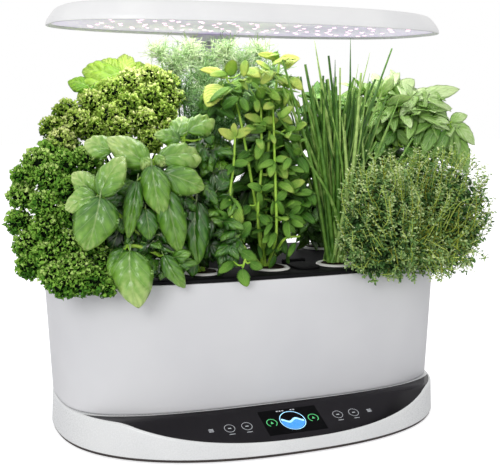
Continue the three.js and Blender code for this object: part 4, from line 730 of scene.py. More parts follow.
def softened(nodes: Sequence[str], finish: Surface, bevel: float, body: str = "base") -> None:
    """Copies CAD nodes, merges their doubles and rounds their edges a little.

    Args:
        nodes: The CAD nodes, each replaced by its own piece.
        finish: The finish of all of them.
        bevel: Width of the rounding in millimetres.
        body: The body they ride on.
    """
    corners = {"limit_method": "ANGLE", "angle_limit": math.radians(40)}
    for name in nodes:
        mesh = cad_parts[name].data.copy()
        welded(mesh, 0.005 * MM)
        rounded = applied(mesh, "BEVEL", width=bevel * MM, segments=2, **corners)
        piece(f"{name}_look", rounded, finish, [name], body)


def dressed(names: Sequence[str], finish: Surface) -> None:
    """Gives CAD nodes that stay as they are their finish."""
    for name in names:
        finished(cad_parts[name].data, finish)


def carved(mesh: Mesh, cutters: Shell, overlaps: bool = False) -> Mesh:
    """Cuts closed solids out of a mesh.

    Args:
        mesh: The mesh before.
        cutters: The solids to cut away.
        overlaps: Whether the mesh's own solids overlap, and become one.

    Returns:
        The mesh after.
    """
    tool = linked("cutter", cutters.mesh("cutter"))
    made = applied(mesh, "BOOLEAN", operation="DIFFERENCE", object=tool, solver="EXACT", use_self=overlaps)
    bpy.data.objects.remove(tool)
    return made


def post(x: float, y: float, radius: float, low: float, high: float) -> Solid:
    """An upright cylinder, its middle at x and y."""
    return loft([circle(radius, z, 48) + (x, y, 0) for z in (low, high)])


def rounded_loop(width: float, depth: float, corner: float, steps: int = 8) -> np.ndarray:
    """A rectangle's outline with round corners, in the plane.

    Args:
        width: Size across.
        depth: Size deep.
        corner: Radius of the corners.
        steps: Points on each corner.

    Returns:
        The points, counter-clockwise.
    """
    points = []
    for quarter, (sx, sy) in enumerate(((1, 1), (-1, 1), (-1, -1), (1, -1))):
        turn = np.linspace(quarter, quarter + 1, steps) * np.pi / 2
        middle = (sx * (width / 2 - corner), sy * (depth / 2 - corner))
        points.append(middle + corner * np.column_stack([np.cos(turn), np.sin(turn)]))
    return np.vstack(points)


def raised(outline: np.ndarray, z: float) -> np.ndarray:
    """An outline in the plane as a loop at a height."""
    return np.column_stack([outline, np.full(len(outline), float(z))])


def slab(x: float, y: float, width: float, depth: float, corner: float, low: float, high: float) -> Solid:
    """An upright bar with round corners, its middle at x and y."""
    outline = rounded_loop(width, depth, corner) + (x, y)
    return loft([raised(outline, low), raised(outline, high)])


# Scatter: the one tree that repeats leaves, lamps and pods


@cache
def scatter_tree() -> Tree:
    """Builds the Geometry Nodes tree that sets shapes on points, once.

    Returns:
        The tree. Its points carry turn, size, tone and variant.
    """
    tree = bpy.data.node_groups.new("scatter", "GeometryNodeTree")
    kinds = {"Geometry": "Geometry", "Shapes": "Collection", "Finish": "Material"}
    kinds |= {"Tone spread": "Float", "Seed": "Int"}
    for name, kind in kinds.items():
        tree.interface.new_socket(name, in_out="INPUT", socket_type=f"NodeSocket{kind}")
    tree.interface.new_socket("Geometry", in_out="OUTPUT", socket_type="NodeSocketGeometry")
    given = node(tree, "NodeGroupInput").outputs

    def carried(name: str, kind: str) -> Socket:
        """What the points carry under a name."""
        reader = node(tree, "GeometryNodeInputNamedAttribute", {"Name": name}, data_type=kind)
        return socket(reader.outputs, "Attribute")

    chance = node(tree, "FunctionNodeRandomValue", {"Min": -1.0, "Max": 1.0, "Seed": given["Seed"]})
    stray = socket(chance.outputs, "Value")
    tone = arithmetic(tree, "MULTIPLY_ADD", stray, given["Tone spread"], carried("tone", "FLOAT"))
    stored = {"Geometry": given["Geometry"], "Name": "tone", "Value": tone}
    toned = node(tree, "GeometryNodeStoreNamedAttribute", stored, data_type="FLOAT", domain="POINT")
    shelf = {"Collection": given["Shapes"], "Separate Children": True, "Reset Children": True}
    shapes = node(tree, "GeometryNodeCollectionInfo", shelf)
    turned = node(tree, "FunctionNodeEulerToRotation", {0: carried("turn", "FLOAT_VECTOR")})
    inputs = {"Points": toned.outputs[0], "Instance": shapes.outputs[0], "Pick Instance": True}
    inputs |= {"Instance Index": carried("variant", "INT"), "Rotation": turned.outputs[0]}
    inputs["Scale"] = carried("size", "FLOAT_VECTOR")
    placed = node(tree, "GeometryNodeInstanceOnPoints", inputs)
    real = node(tree, "GeometryNodeRealizeInstances", {"Geometry": placed.outputs[0]})
    skin = {"Geometry": real.outputs[0], "Material": given["Finish"]}
    node(tree, "NodeGroupOutput", {"Geometry": node(tree, "GeometryNodeSetMaterial", skin).outputs[0]})
    return tree


@dataclass
class Sprout:
    """Where one repeated shape sits.

    Attributes:
        place: Its origin in millimetres.
        along: The way its length points.
        up: The way its upper face looks.
        length: Its length in millimetres.
        stretch: Its width as a share of the template's.
        tone: Its tone, dark to light.
        variant: Which template it is.
    """

    place: Point
    along: Point = (0.0, 1.0, 0.0)
    up: Point = (0.0, 0.0, 1.0)
    length: float = 1.0
    stretch: float = 1.0
    tone: float = 0.5
    variant: int = 0

    def turn(self) -> tuple[float, float, float]:
        """Finds the turn of the shape, whose length is y and whose upper face looks up z.

        Returns:
            The Euler angles.
        """
        y = Vector(self.along).normalized()
        z = Vector(self.up)
        z = z - y * z.dot(y)
        if z.length < 1e-4:
            other = Vector((0.3, 0.2, 1.0))
            z = other - y * other.dot(y)
        z.normalize()
        x = y.cross(z)
        return tuple(Matrix((x, y, z)).transposed().to_euler())


def scattered(
    name: str, sprouts: Sequence[Sprout], shapes: Sequence[Mesh], finish: Finish, spread: float = 0.0
) -> Mesh:
    """Sets shapes on points with the scatter tree, and takes the result as a plain mesh.

    Args:
        name: The new mesh's name.
        sprouts: Where each shape sits.
        shapes: The templates, one unit long.
        finish: The finish of all of them.
        spread: How far a shape's tone strays from its own.

    Returns:
        The mesh, in metres.
    """
    shelf = bpy.data.collections.new(f"{name}_shapes")
    models = [bpy.data.objects.new(f"{name}_shape_{i:02d}", shape) for i, shape in enumerate(shapes)]
    for model in models:
        shelf.objects.link(model)
    points = bpy.data.meshes.new(f"{name}_points")
    points.from_pydata([tuple(np.asarray(s.place, float) * MM) for s in sprouts], [], [])
    sizes = [(s.length * s.stretch * MM, s.length * MM, s.length * MM) for s in sprouts]
    for key, kind, prop, values in (
        ("turn", "FLOAT_VECTOR", "vector", [s.turn() for s in sprouts]),
        ("size", "FLOAT_VECTOR", "vector", sizes),
        ("tone", "FLOAT", "value", [s.tone for s in sprouts]),
        ("variant", "INT", "value", [s.variant % len(shapes) for s in sprouts]),
    ):
        layer = points.attributes.new(key, kind, "POINT")
        layer.data.foreach_set(prop, np.asarray(values).ravel())
    carrier = linked(f"{name}_carrier", points)
    modifier = carrier.modifiers.new("scatter", "NODES")
    modifier.node_group = scatter_tree()
    values = {"Shapes": shelf, "Tone spread": spread, "Seed": SCATTER_SEED, "Finish": finish.make()}
    for item in scatter_tree().interface.items_tree:
        if item.in_out == "INPUT" and item.name in values:
            modifier[item.identifier] = values[item.name]
    made = evaluated(carrier)
    made.name = name
    finished(made, finish)
    for model in models:
        bpy.data.objects.remove(model)
    bpy.data.collections.remove(shelf)
    return made


# Leaves


@dataclass(frozen=True)
class Blade:
    """The blade of one kind of leaf, one unit long, closed and thin.

    Attributes:
        width: Greatest width.
        rows: Faces along it.
        columns: Faces across it.
        base: Power of its foot, small for a blunt one.
        tip: Power of its tip, large for a long one.
        fold: Slope of each half up from the midrib.
        cup: How far its edges fall.
        curl: Angle in radians that it bends down over its length.
        pucker: Height of the quilting between its side veins.
        veins: Side veins on each half.
        ruffle: Height of the waves of its edge.
        ruffles: Waves along its edge.
        tooth: Depth of the teeth of its edge.
        teeth: Teeth along its edge.
        thickness: Thickness in its middle.
        petiole: Length of its stalk.
    """

    width: float = 0.5
    rows: int = 12
    columns: int = 6
    base: float = 0.6
    tip: float = 0.8
    fold: float = 0.25
    cup: float = 0.25
    curl: float = 0.7
    pucker: float = 0.0
    veins: float = 5.0
    ruffle: float = 0.0
    ruffles: float = 2.0
    tooth: float = 0.0
    teeth: int = 0
    thickness: float = 0.012
    petiole: float = 0.0

    def mesh(self, name: str, chance: Chance) -> Mesh:
        """Builds one leaf of this kind.

        Args:
            name: The mesh's name.
            chance: Where its small differences come from.

        Returns:
            The mesh, with its UV and smooth shading.
        """
        v = np.linspace(0, 1, self.rows + 1)[:, None]
        s = np.linspace(-1, 1, self.columns + 1)[None, :]
        peak = self.base / (self.base + self.tip)
        scale = peak**self.base * (1 - peak) ** self.tip
        half = self.width / 2 * v**self.base * (1 - v) ** self.tip / scale
        if self.teeth:
            half = half * (1 - self.tooth * ((v * self.teeth) % 1.0))
        curl = self.curl * chance.uniform(0.7, 1.3)
        phase = chance.uniform(0, 2 * np.pi)
        side = np.abs(s)
        lift = self.fold * side * half - self.cup * s**2 * half
        quilt = np.abs(np.sin(np.pi * (self.veins * (v - 0.45 * side * self.width) + 0.2)))
        lift = lift + self.pucker * quilt * (1 - (1 - side) ** 5) * (1 - side**4) * half * 2
        wave = np.sin(2 * np.pi * self.ruffles * v + phase + s * 1.3)
        lift = lift + self.ruffle * side**2 * wave * half * 2
        angle = curl * v**1.3
        step = 1 / self.rows
        deep = np.vstack([np.zeros((1, 1)), np.cumsum(np.cos(angle[:-1]) * step, axis=0)])
        fall = np.vstack([np.zeros((1, 1)), -np.cumsum(np.sin(angle[:-1]) * step, axis=0)])
        sway = chance.uniform(-0.12, 0.12) * v**2
        edge = (1 - s**4) * np.sqrt(np.clip(4 * v * (1 - v), 0, 1)) * self.thickness / 2
        count = (self.rows + 1) * (self.columns + 1)

        def layer(sign: float) -> np.ndarray:
            """The points of the upper or the lower face."""
            off = lift + sign * edge
            spots = (s * half + sway, deep + off * np.sin(angle), fall + off * np.cos(angle))
            return np.stack(spots, axis=-1).reshape(-1, 3)

        uv = np.stack(np.broadcast_arrays((s + 1) / 2, v), axis=-1).reshape(-1, 2)
        faces, corner_uv = [], []
        for i in range(self.rows):
            for j in range(self.columns):
                a = i * (self.columns + 1) + j
                quad = [a, a + 1, a + self.columns + 2, a + self.columns + 1]
                faces.append(quad)
                corner_uv.extend(uv[q] for q in quad)
                faces.append([q + count for q in reversed(quad)])
                corner_uv.extend(uv[q] for q in reversed(quad))
        points = np.vstack([layer(1.0), layer(-1.0)])
        if self.petiole:
            line = [(0, -self.petiole, 0.02), (0, 0, 0), (0, 0.08, 0)]
            stalk, sides = tube(line, (0.022, 0.016, 0.006), 4)
            start = len(points)
            points = np.vstack([points, stalk])
            for face in sides:
                faces.append([int(q) + start for q in face])
                corner_uv.extend((0.5, 0.0) for _ in face)
        made = bpy.data.meshes.new(name)
        made.from_pydata(points.tolist(), [], faces)
        layer_uv = made.uv_layers.new(name="blade")
        layer_uv.data.foreach_set("uv", np.asarray(corner_uv, np.float32).ravel())
        welded(made, 2e-4)
        made.shade_smooth()
        return made


def variants(blade: Blade, count: int, seed: int) -> list[Mesh]:
    """Several leaves of one kind, each a little different."""
    chance = np.random.default_rng(seed)
    return [blade.mesh(f"leaf_{seed}_{i}", chance) for i in range(count)]


def unit(vector: Point) -> np.ndarray:
    """A vector at length one."""
    given = np.asarray(vector, float)
    return given / max(np.linalg.norm(given), 1e-9)


# The way from the garden to the photo's viewer
TO_EYE = unit((-409.0, -974.0, 200.0))


@dataclass
class Herb:
    """A plant that grows out of one pod.

    Attributes:
        name: Its CAD node.
        slot: The record's material slot; not used.
        finish: The finish of its leaves.
        blade: The kind of leaf.
        seed: Where its chance starts.
        spread: How far a leaf's tone strays.
        kinds: Leaf templates.
        stem_finish: The finish of its stems.
        batch: Leaves in one piece at most.
    """

    name: str
    slot: str
    finish: LeafFinish
    blade: Blade
    seed: int
    spread: float = 0.12
    kinds: int = 5
    stem_finish: LeafFinish = GREEN_STEM
    batch: int = 7000

    def sprouts(self, chance: Chance) -> list[Sprout]:
        """The plant's leaves."""
        raise NotImplementedError

    def stems(self, chance: Chance) -> Shell:
        """The plant's stems and its shaded heart."""
        return Shell()

    def build(self) -> None:
        """Grows the plant in place of its CAD node."""
        chance = np.random.default_rng(self.seed)
        leaves = self.sprouts(chance)
        far = replace(self.blade, rows=7, columns=4, teeth=0)
        shapes = variants(self.blade, self.kinds, self.seed) + variants(far, self.kinds, self.seed + 50)
        for start in range(0, len(leaves), self.batch):
            name = f"{self.name}_leaves_{start // self.batch + 1}"
            mesh = scattered(name, leaves[start : start + self.batch], shapes, self.finish, self.spread)
            piece(name, mesh, None, [self.name], sharp=180.0)
        stems = self.stems(chance)
        if stems.count:
            stem_mesh = stems.mesh(f"{self.name}_stems")
            piece(f"{self.name}_stems", stem_mesh, self.stem_finish, [self.name], sharp=60.0)


def lump(centre: Point, radius: float, squash: float, chance: Chance) -> Solid:
    """A rough ball, the shaded heart of a tuft.

    Args:
        centre: Its middle.
        radius: Its reach.
        squash: Its height as a share of its width.
        chance: Where its bumps come from.

    Returns:
        The points and faces.
    """
    loops = []
    for tilt in np.linspace(-1.35, 1.35, 7):
        loop = circle(radius * math.cos(tilt), 0, 12)
        loop *= chance.uniform(0.85, 1.1, (12, 1))
        loop[:, 2] = radius * squash * math.sin(tilt)
        loops.append(loop + centre)
    return loft(loops)


def around(count: int, chance: Chance) -> np.ndarray:
    """Directions spread evenly over a ball, each a little astray.

    Args:
        count: How many.
        chance: Where the straying comes from.

    Returns:
        The directions, one in a row.
    """
    i = np.arange(count) + 0.5
    z = 1 - 2 * i / count
    turn = np.pi * (1 + 5**0.5) * i
    flat = np.sqrt(1 - z**2)
    points = np.column_stack([flat * np.cos(turn), flat * np.sin(turn), z])
    points += chance.normal(0, 0.16, (count, 3))
    return points / np.linalg.norm(points, axis=1, keepdims=True)


@dataclass
class Bush(Herb):
    """Curly parsley: tufts of frilled lobes over a shaded heart.

    Attributes:
        foot: Where it grows from.
        tufts: Middle and reach of every tuft, and how much lighter than the rest it is.
        frills: Lobes on a tuft of ten millimetres' reach.
        frill: Length of a lobe.
    """

    foot: Point = (0.0, 0.0, 0.0)
    tufts: Sequence[Sequence[float]] = ()
    frills: int = 270
    frill: float = 4.8

    def sprouts(self, chance: Chance) -> list[Sprout]:
        """Lobes on every tuft, lighter where they face up and outward: painted light and shade.

        Args:
            chance: Where the differences come from.

        Returns:
            The lobes.
        """
        made = []
        for x, y, z, reach, *lift in self.tufts:
            middle = np.array((x, y, z))
            mood = chance.uniform(-0.12, 0.12) + sum(lift)
            for way in around(int(self.frills * (reach / 13) ** 2), chance):
                depth = chance.uniform(0.7, 1.06)
                place = middle + way * reach * depth * (1, 1, 0.9)
                along = unit(way + chance.normal(0, 0.55, 3))
                # Painted light on lobes facing up, painted shade on lobes deep in the tuft
                tone = 0.5 + 0.2 * way[2] + 0.8 * (depth - 0.88) + mood
                foot, up = place - along * self.frill * 0.4, chance.normal(0, 1, 3)
                length, stretch = self.frill * chance.uniform(0.7, 1.25), chance.uniform(0.8, 1.3)
                kind = int(chance.integers(0, self.kinds))
                made.append(Sprout(foot, along, up, length, stretch, tone, kind))
        return made

    def stems(self, chance: Chance) -> Shell:
        """Stalks from the pod to every tuft, and the tufts' hearts.

        Args:
            chance: Where the differences come from.

        Returns:
            The stalks and hearts.
        """
        shell = Shell()
        for x, y, z, reach, *_ in self.tufts:
            shell.add(lump((x, y, z), reach * 0.72, 0.85, chance), 0.1)
            over = max(self.foot[2] + 8, 0.7 * z + 0.3 * self.foot[2])
            knee = (0.45 * x + 0.55 * self.foot[0], 0.45 * y + 0.55 * self.foot[1], over)
            shell.add(tube(bowed([self.foot, knee, (x, y, z)], 9), (1.3, 0.9), 5), 0.35)
        return shell


# Space over the filling opening where the lid swings up, as ranges of x, y and z
LID_SWING = ((13.0, 58.0), (-92.0, -26.0), (160.0, 222.0))


def under_lid(leaf: Sprout) -> bool:
    """Whether the middle of a leaf lies where the lid swings."""
    middle = np.array(leaf.place, float) + unit(leaf.along) * leaf.length * 0.5
    return all(low < value < high for value, (low, high) in zip(middle, LID_SWING))


@dataclass(frozen=True)
class Cloud:
    """Leaves strewn through an egg-shaped space.

    Attributes:
        middle: Its middle.
        reach: Its half sizes.
        count: Leaves in it.
        length: Shortest and longest leaf.
        tone: Darkest leaf, deep inside, and lightest, out in the light.
        droop: How far the leaves hang.
    """

    middle: Point
    reach: Point
    count: int
    length: Pair
    tone: Pair
    droop: float = 0.35

    def sprouts(self, chance: Chance, kinds: int) -> list[Sprout]:
        """The leaves, each pointing outward and a little down.

        Args:
            chance: Where their differences come from.
            kinds: Leaf templates to pick from.

        Returns:
            The leaves.
        """
        made = []
        for way in around(self.count, chance):
            depth = chance.uniform(0.1, 1.0) ** 0.5
            place = np.array(self.middle) + way * self.reach * depth
            along = unit(way * (1, 0.7, 0.5) + chance.normal(0, 0.5, 3) + (0, -0.15, -self.droop))
            length = chance.uniform(*self.length)
            light = np.clip(0.5 + 0.35 * way[2] - 0.18 * way[1] + 0.3 * (depth - 0.7), 0, 1)
            tone = self.tone[0] + (self.tone[1] - self.tone[0]) * light
            up = 0.6 * TO_EYE + (0, 0, 0.6) + chance.normal(0, 0.35, 3)
            variant = kinds + int(chance.integers(0, kinds))
            foot, stretch = place - along * length * 0.5, chance.uniform(0.8, 1.1)
            made.append(Sprout(foot, along, up, length, stretch, tone, variant))
        return made


@dataclass
class Leafy(Herb):
    """A plant whose big leaves are each listed.

    Attributes:
        leaves: Foot, tip, width and tone of every leaf; the tone also paints light and shade.
        lines: Paths of its stems.
        stem: Radius of a stem at its foot and its tip.
        eye: How far a leaf's upper face turns to the viewer.
        clouds: Leaves strewn behind and between them.
    """

    leaves: Sequence[Sequence[Any]] = ()
    lines: Sequence[Sequence[Point]] = ()
    stem: Pair = (1.5, 1.0)
    eye: float = 0.75
    clouds: Sequence[Cloud] = ()

    def sprouts(self, chance: Chance) -> list[Sprout]:
        """The listed leaves, then the strewn ones.

        Args:
            chance: Where the differences come from.

        Returns:
            The leaves, without those that the lid would meet.
        """
        made = []
        for foot, tip, width, tone in self.leaves:
            run = np.subtract(tip, foot)
            length = float(np.linalg.norm(run))
            up = self.eye * TO_EYE + (1 - self.eye) * np.array((0, 0, 1.0)) + chance.normal(0, 0.16, 3)
            stretch = width / (length * self.blade.width)
            variant = int(chance.integers(0, self.kinds))
            made.append(Sprout(foot, run, up, length * 1.06, stretch, tone, variant))
        for cloud in self.clouds:
            made.extend(cloud.sprouts(chance, self.kinds))
        return [leaf for leaf in made if not under_lid(leaf)]

    def stems(self, chance: Chance) -> Shell:
        """The stems, and a stalk to each leaf.

        Args:
            chance: Where the differences come from; not used.

        Returns:
            The stems.
        """
        shell = Shell()
        paths = [bowed(line, 20) for line in self.lines]
        for path in paths:
            shell.add(tube(path, self.stem, 7), 0.75)
        if paths:
            every = np.vstack(paths)
            for foot, *_ in self.leaves:
                near = every[np.argmin(np.linalg.norm(every - foot, axis=1))]
                if np.linalg.norm(near - foot) > 2.0:
                    sag = (near + foot) / 2 + (0, 0, -2)
                    shell.add(tube(bowed([near, sag, foot], 6), (1.0, 0.8), 5), 0.7)
        return shell


@dataclass
class Chives(Herb):
    """A dense bundle of tubular blades, a few of them bent over.

    Attributes:
        foot: Where it grows from.
        tips: Tips that stand out of the bundle.
        count: Blades in all.
        middle: Middle of the other tips, across and deep.
        strewn: How far they stray from it, across and deep.
        heights: Lowest and highest of them.
    """

    foot: Point = (74.0, -62.0, 171.5)
    tips: Sequence[Point] = ()
    count: int = 150
    middle: Pair = (82.0, -58.0)
    strewn: Pair = (25.0, 10.0)
    heights: Pair = (285.0, 368.0)

    def build(self) -> None:
        """Draws every blade as its own tapered tube."""
        chance = np.random.default_rng(self.seed)
        shell = Shell()
        goals = [np.array(tip, float) for tip in self.tips]
        while len(goals) < self.count:
            x, y = chance.normal(self.middle, self.strewn)
            goals.append(np.array((x, y, chance.uniform(*self.heights))))
        for goal in goals:
            start = np.array(self.foot) + (chance.uniform(-9, 9), chance.uniform(-8, 8), 0)
            lean = goal - start
            bow = chance.normal(0, 6.5, 3)
            middle = start + lean * 0.5 + bow * (1, 1, 0) - (lean[0] * 0.08, 0, 0)
            path = bowed([start, middle, goal], 10)
            size = chance.uniform(1.4, 2.5)
            blunt = chance.choice((0.1, 0.5))
            radii = (size * 0.9, size, size * 0.9, size * 0.7, size * blunt)
            shell.add(tube(path, radii, 6), float(chance.uniform(0.1, 0.95)))
        mesh = shell.mesh("chives_blades")
        piece("chives_blades", mesh, self.finish, [self.name], sharp=70.0)


@dataclass
class Thyme(Herb):
    """A mound of fine sprigs, each set with pairs of tiny leaves.

    Attributes:
        foot: Where it grows from.
        mounds: Middle, half sizes and sprigs of every part of the plant.
        shade: Middle, half sizes and count of the dark leaves inside it, which paint its shade.
        back: Greatest y of a sprig's tip.
        low: Lowest tip.
        crest: Greatest y of the high tips, and the height over which a tip is high.
        points: Points on a sprig's curve.
        pairs: Pairs of leaves on a sprig.
        leafed: Length of a sprig, from its tip, that carries leaves.
        paths: The sprigs' curves, once they are grown.
    """

    foot: Point = (148.0, -62.0, 171.5)
    mounds: Sequence[Sequence[Any]] = (
        ((186.0, -76.0, 226.0), (78.0, 44.0, 74.0), 640),
        ((94.0, -116.0, 222.0), (50.0, 26.0, 72.0), 360),
        ((160.0, -100.0, 172.0), (76.0, 34.0, 22.0), 160),
    )
    shade: Sequence[Sequence[Any]] = (
        ((184.0, -74.0, 218.0), (62.0, 34.0, 54.0), 1500),
        ((96.0, -114.0, 214.0), (38.0, 20.0, 52.0), 700),
    )
    back: float = -20.0
    low: float = 154.0
    crest: Pair = (-46.0, 256.0)
    points: int = 26
    pairs: int = 11
    leafed: float = 46.0
    paths: list = field(default_factory=list)

    def sprouts(self, chance: Chance) -> list[Sprout]:
        """Leaves in crossed pairs along every sprig.

        Args:
            chance: Where the differences come from.

        Returns:
            The leaves, with the dark ones that paint the shade inside the plant last.
        """
        made = []
        foot = np.array(self.foot)
        crest_back, crest_height = self.crest
        for middle, reach, sprigs in self.mounds:
            for way in around(sprigs, chance):
                depth = chance.uniform(0.12, 1.0) ** 0.4
                tip = np.array(middle) + way * reach * depth
                _, y, z = tip
                if y > self.back or z < self.low or (y > crest_back and z > crest_height):
                    continue
                spread = foot + (tip - foot) * (0.62, 0.62, 0.3) + (0, 0, 10 if z < 190 else 0)
                knee = spread + chance.normal(0, 8, 3)
                turn = 0.35 * spread + 0.65 * tip + chance.normal(0, 6, 3)
                path = bowed([foot, knee, turn, tip], self.points)
                self.paths.append(path)
                # Sprigs deep in the mound are darker: painted shade
                mood = chance.uniform(-0.2, 0.2) + 0.4 * (depth - 0.85)
                made.extend(self.pair_leaves(path, mood, way, chance))
        # Dark leaves inside the plant, painted shade
        for middle, reach, count in self.shade:
            deep = Cloud(middle, reach, count, (7.0, 10.0), (0.0, 0.3)).sprouts(chance, self.kinds)
            made.extend(replace(leaf, variant=leaf.variant - self.kinds) for leaf in deep)
        return made

    def pair_leaves(self, path: np.ndarray, mood: float, way: np.ndarray, chance: Chance) -> list[Sprout]:
        """The leaves of one sprig.

        Args:
            path: The sprig's curve.
            mood: How far the sprig is lighter than the rest.
            way: The way it grows.
            chance: Where the differences come from.

        Returns:
            The leaves, from the tip down.
        """
        made = []
        runs = np.gradient(path, axis=0)
        last = self.points - 1
        steps = min(self.leafed / float(np.mean(np.linalg.norm(runs[-8:], axis=1))), last - 3.0)
        for k in range(self.pairs):
            at = last - k * (steps / self.pairs)
            i = int(at)
            place = path[i] + (path[min(i + 1, last)] - path[i]) * (at - i)
            run = unit(runs[i])
            side = unit(np.cross(run, (0.2, 0.3, 1)) if k % 2 else np.cross(run, (1, 0.1, 0.2)))
            for sign in (-1, 1):
                out = unit(side * sign + run * 0.55 + chance.normal(0, 0.15, 3))
                length = chance.uniform(3.6, 6.2) * (0.7 if k < 2 else 1.0)
                # Lighter towards the tip, with painted light on sprigs that grow upward
                tone = 0.38 + mood + 0.35 * (1 - k / self.pairs) + 0.12 * way[2]
                variant = int(chance.integers(0, self.kinds))
                made.append(Sprout(place, out, run + chance.normal(0, 0.3, 3), length, 1.0, tone, variant))
        return made

    def stems(self, chance: Chance) -> Shell:
        """The sprigs' own stems, greener to their tips."""
        shell = Shell()
        for path in self.paths:
            shell.add(tube(path[::2], (0.7, 0.45, 0.3), 4), float(chance.uniform(0.25, 1.0)))
        return shell


@dataclass
class Dill(Herb):
    """Fronds of fine threads that fork off thin stalks.

    Attributes:
        foot: Where it grows from.
        clouds: Middle, reach and tone of every cloud of threads.
        fronds: Fronds in a cloud of twenty millimetres' reach.
        threads: Threads on a frond.
    """

    foot: Point = (-37.0, 50.0, 171.5)
    clouds: Sequence[Sequence[float]] = ()
    fronds: int = 36
    threads: int = 10

    def build(self) -> None:
        """Draws every thread as its own thin tube."""
        chance = np.random.default_rng(self.seed)
        shell = Shell()
        for x, y, z, reach, tone in self.clouds:
            middle = np.array((x, y, z), float)
            root = np.array(self.foot, float)
            knee = root * 0.4 + middle * 0.6 + (0, 6, 0)
            shell.add(tube(bowed([root, knee, middle], 12), (1.6, 0.9), 6), 0.5)
            for way in around(int(self.fronds * (reach / 20) ** 2), chance):
                way = unit(way + (0, 0, 0.35))
                end = middle + way * reach * chance.uniform(0.7, 1.1)
                stalk = bowed([middle, middle * 0.5 + end * 0.5 + chance.normal(0, 2, 3), end], 8)
                shade = tone + float(chance.uniform(-0.2, 0.25))
                shell.add(tube(stalk, (0.45, 0.3), 3), shade)
                for k in range(self.threads):
                    at = stalk[1 + k % 7]
                    out = unit(way * 0.8 + chance.normal(0, 0.75, 3))
                    tip = at + out * chance.uniform(7, 16)
                    bend = (at + tip) / 2 + chance.normal(0, 1.2, 3)
                    thread = tube([at, bend, tip], (0.46, 0.24), 3)
                    shell.add(thread, shade + float(chance.uniform(-0.15, 0.2)))
        mesh = shell.mesh("dill_threads", 0.0001)
        piece("dill_threads", mesh, self.finish, [self.name], sharp=180.0)


# Hardware


# Holes as a middle, a size and a corner: the filling opening, then the mast's foot and the power
# inlet, which also have a bottom and a top
FILL_PORT = (37.0, -61.0, 22.0, 34.0, 8.0)
MAST_FOOT_HOLE = (0.0, 121.0, 44.6, 31.6, 5.0, 30.0, 44.0)
INLET_HOLE = (70.0, 146.0, 15.6, 16.0, 1.0, 12.2, 25.8)
# The lid's hinge, deep and up
HINGE_Y, HINGE_Z = -38.8, 170.7
# Height of a basket's rim and of a sponge's top
BASKET_TOP, SPONGE_TOP = 170.5, 171.0


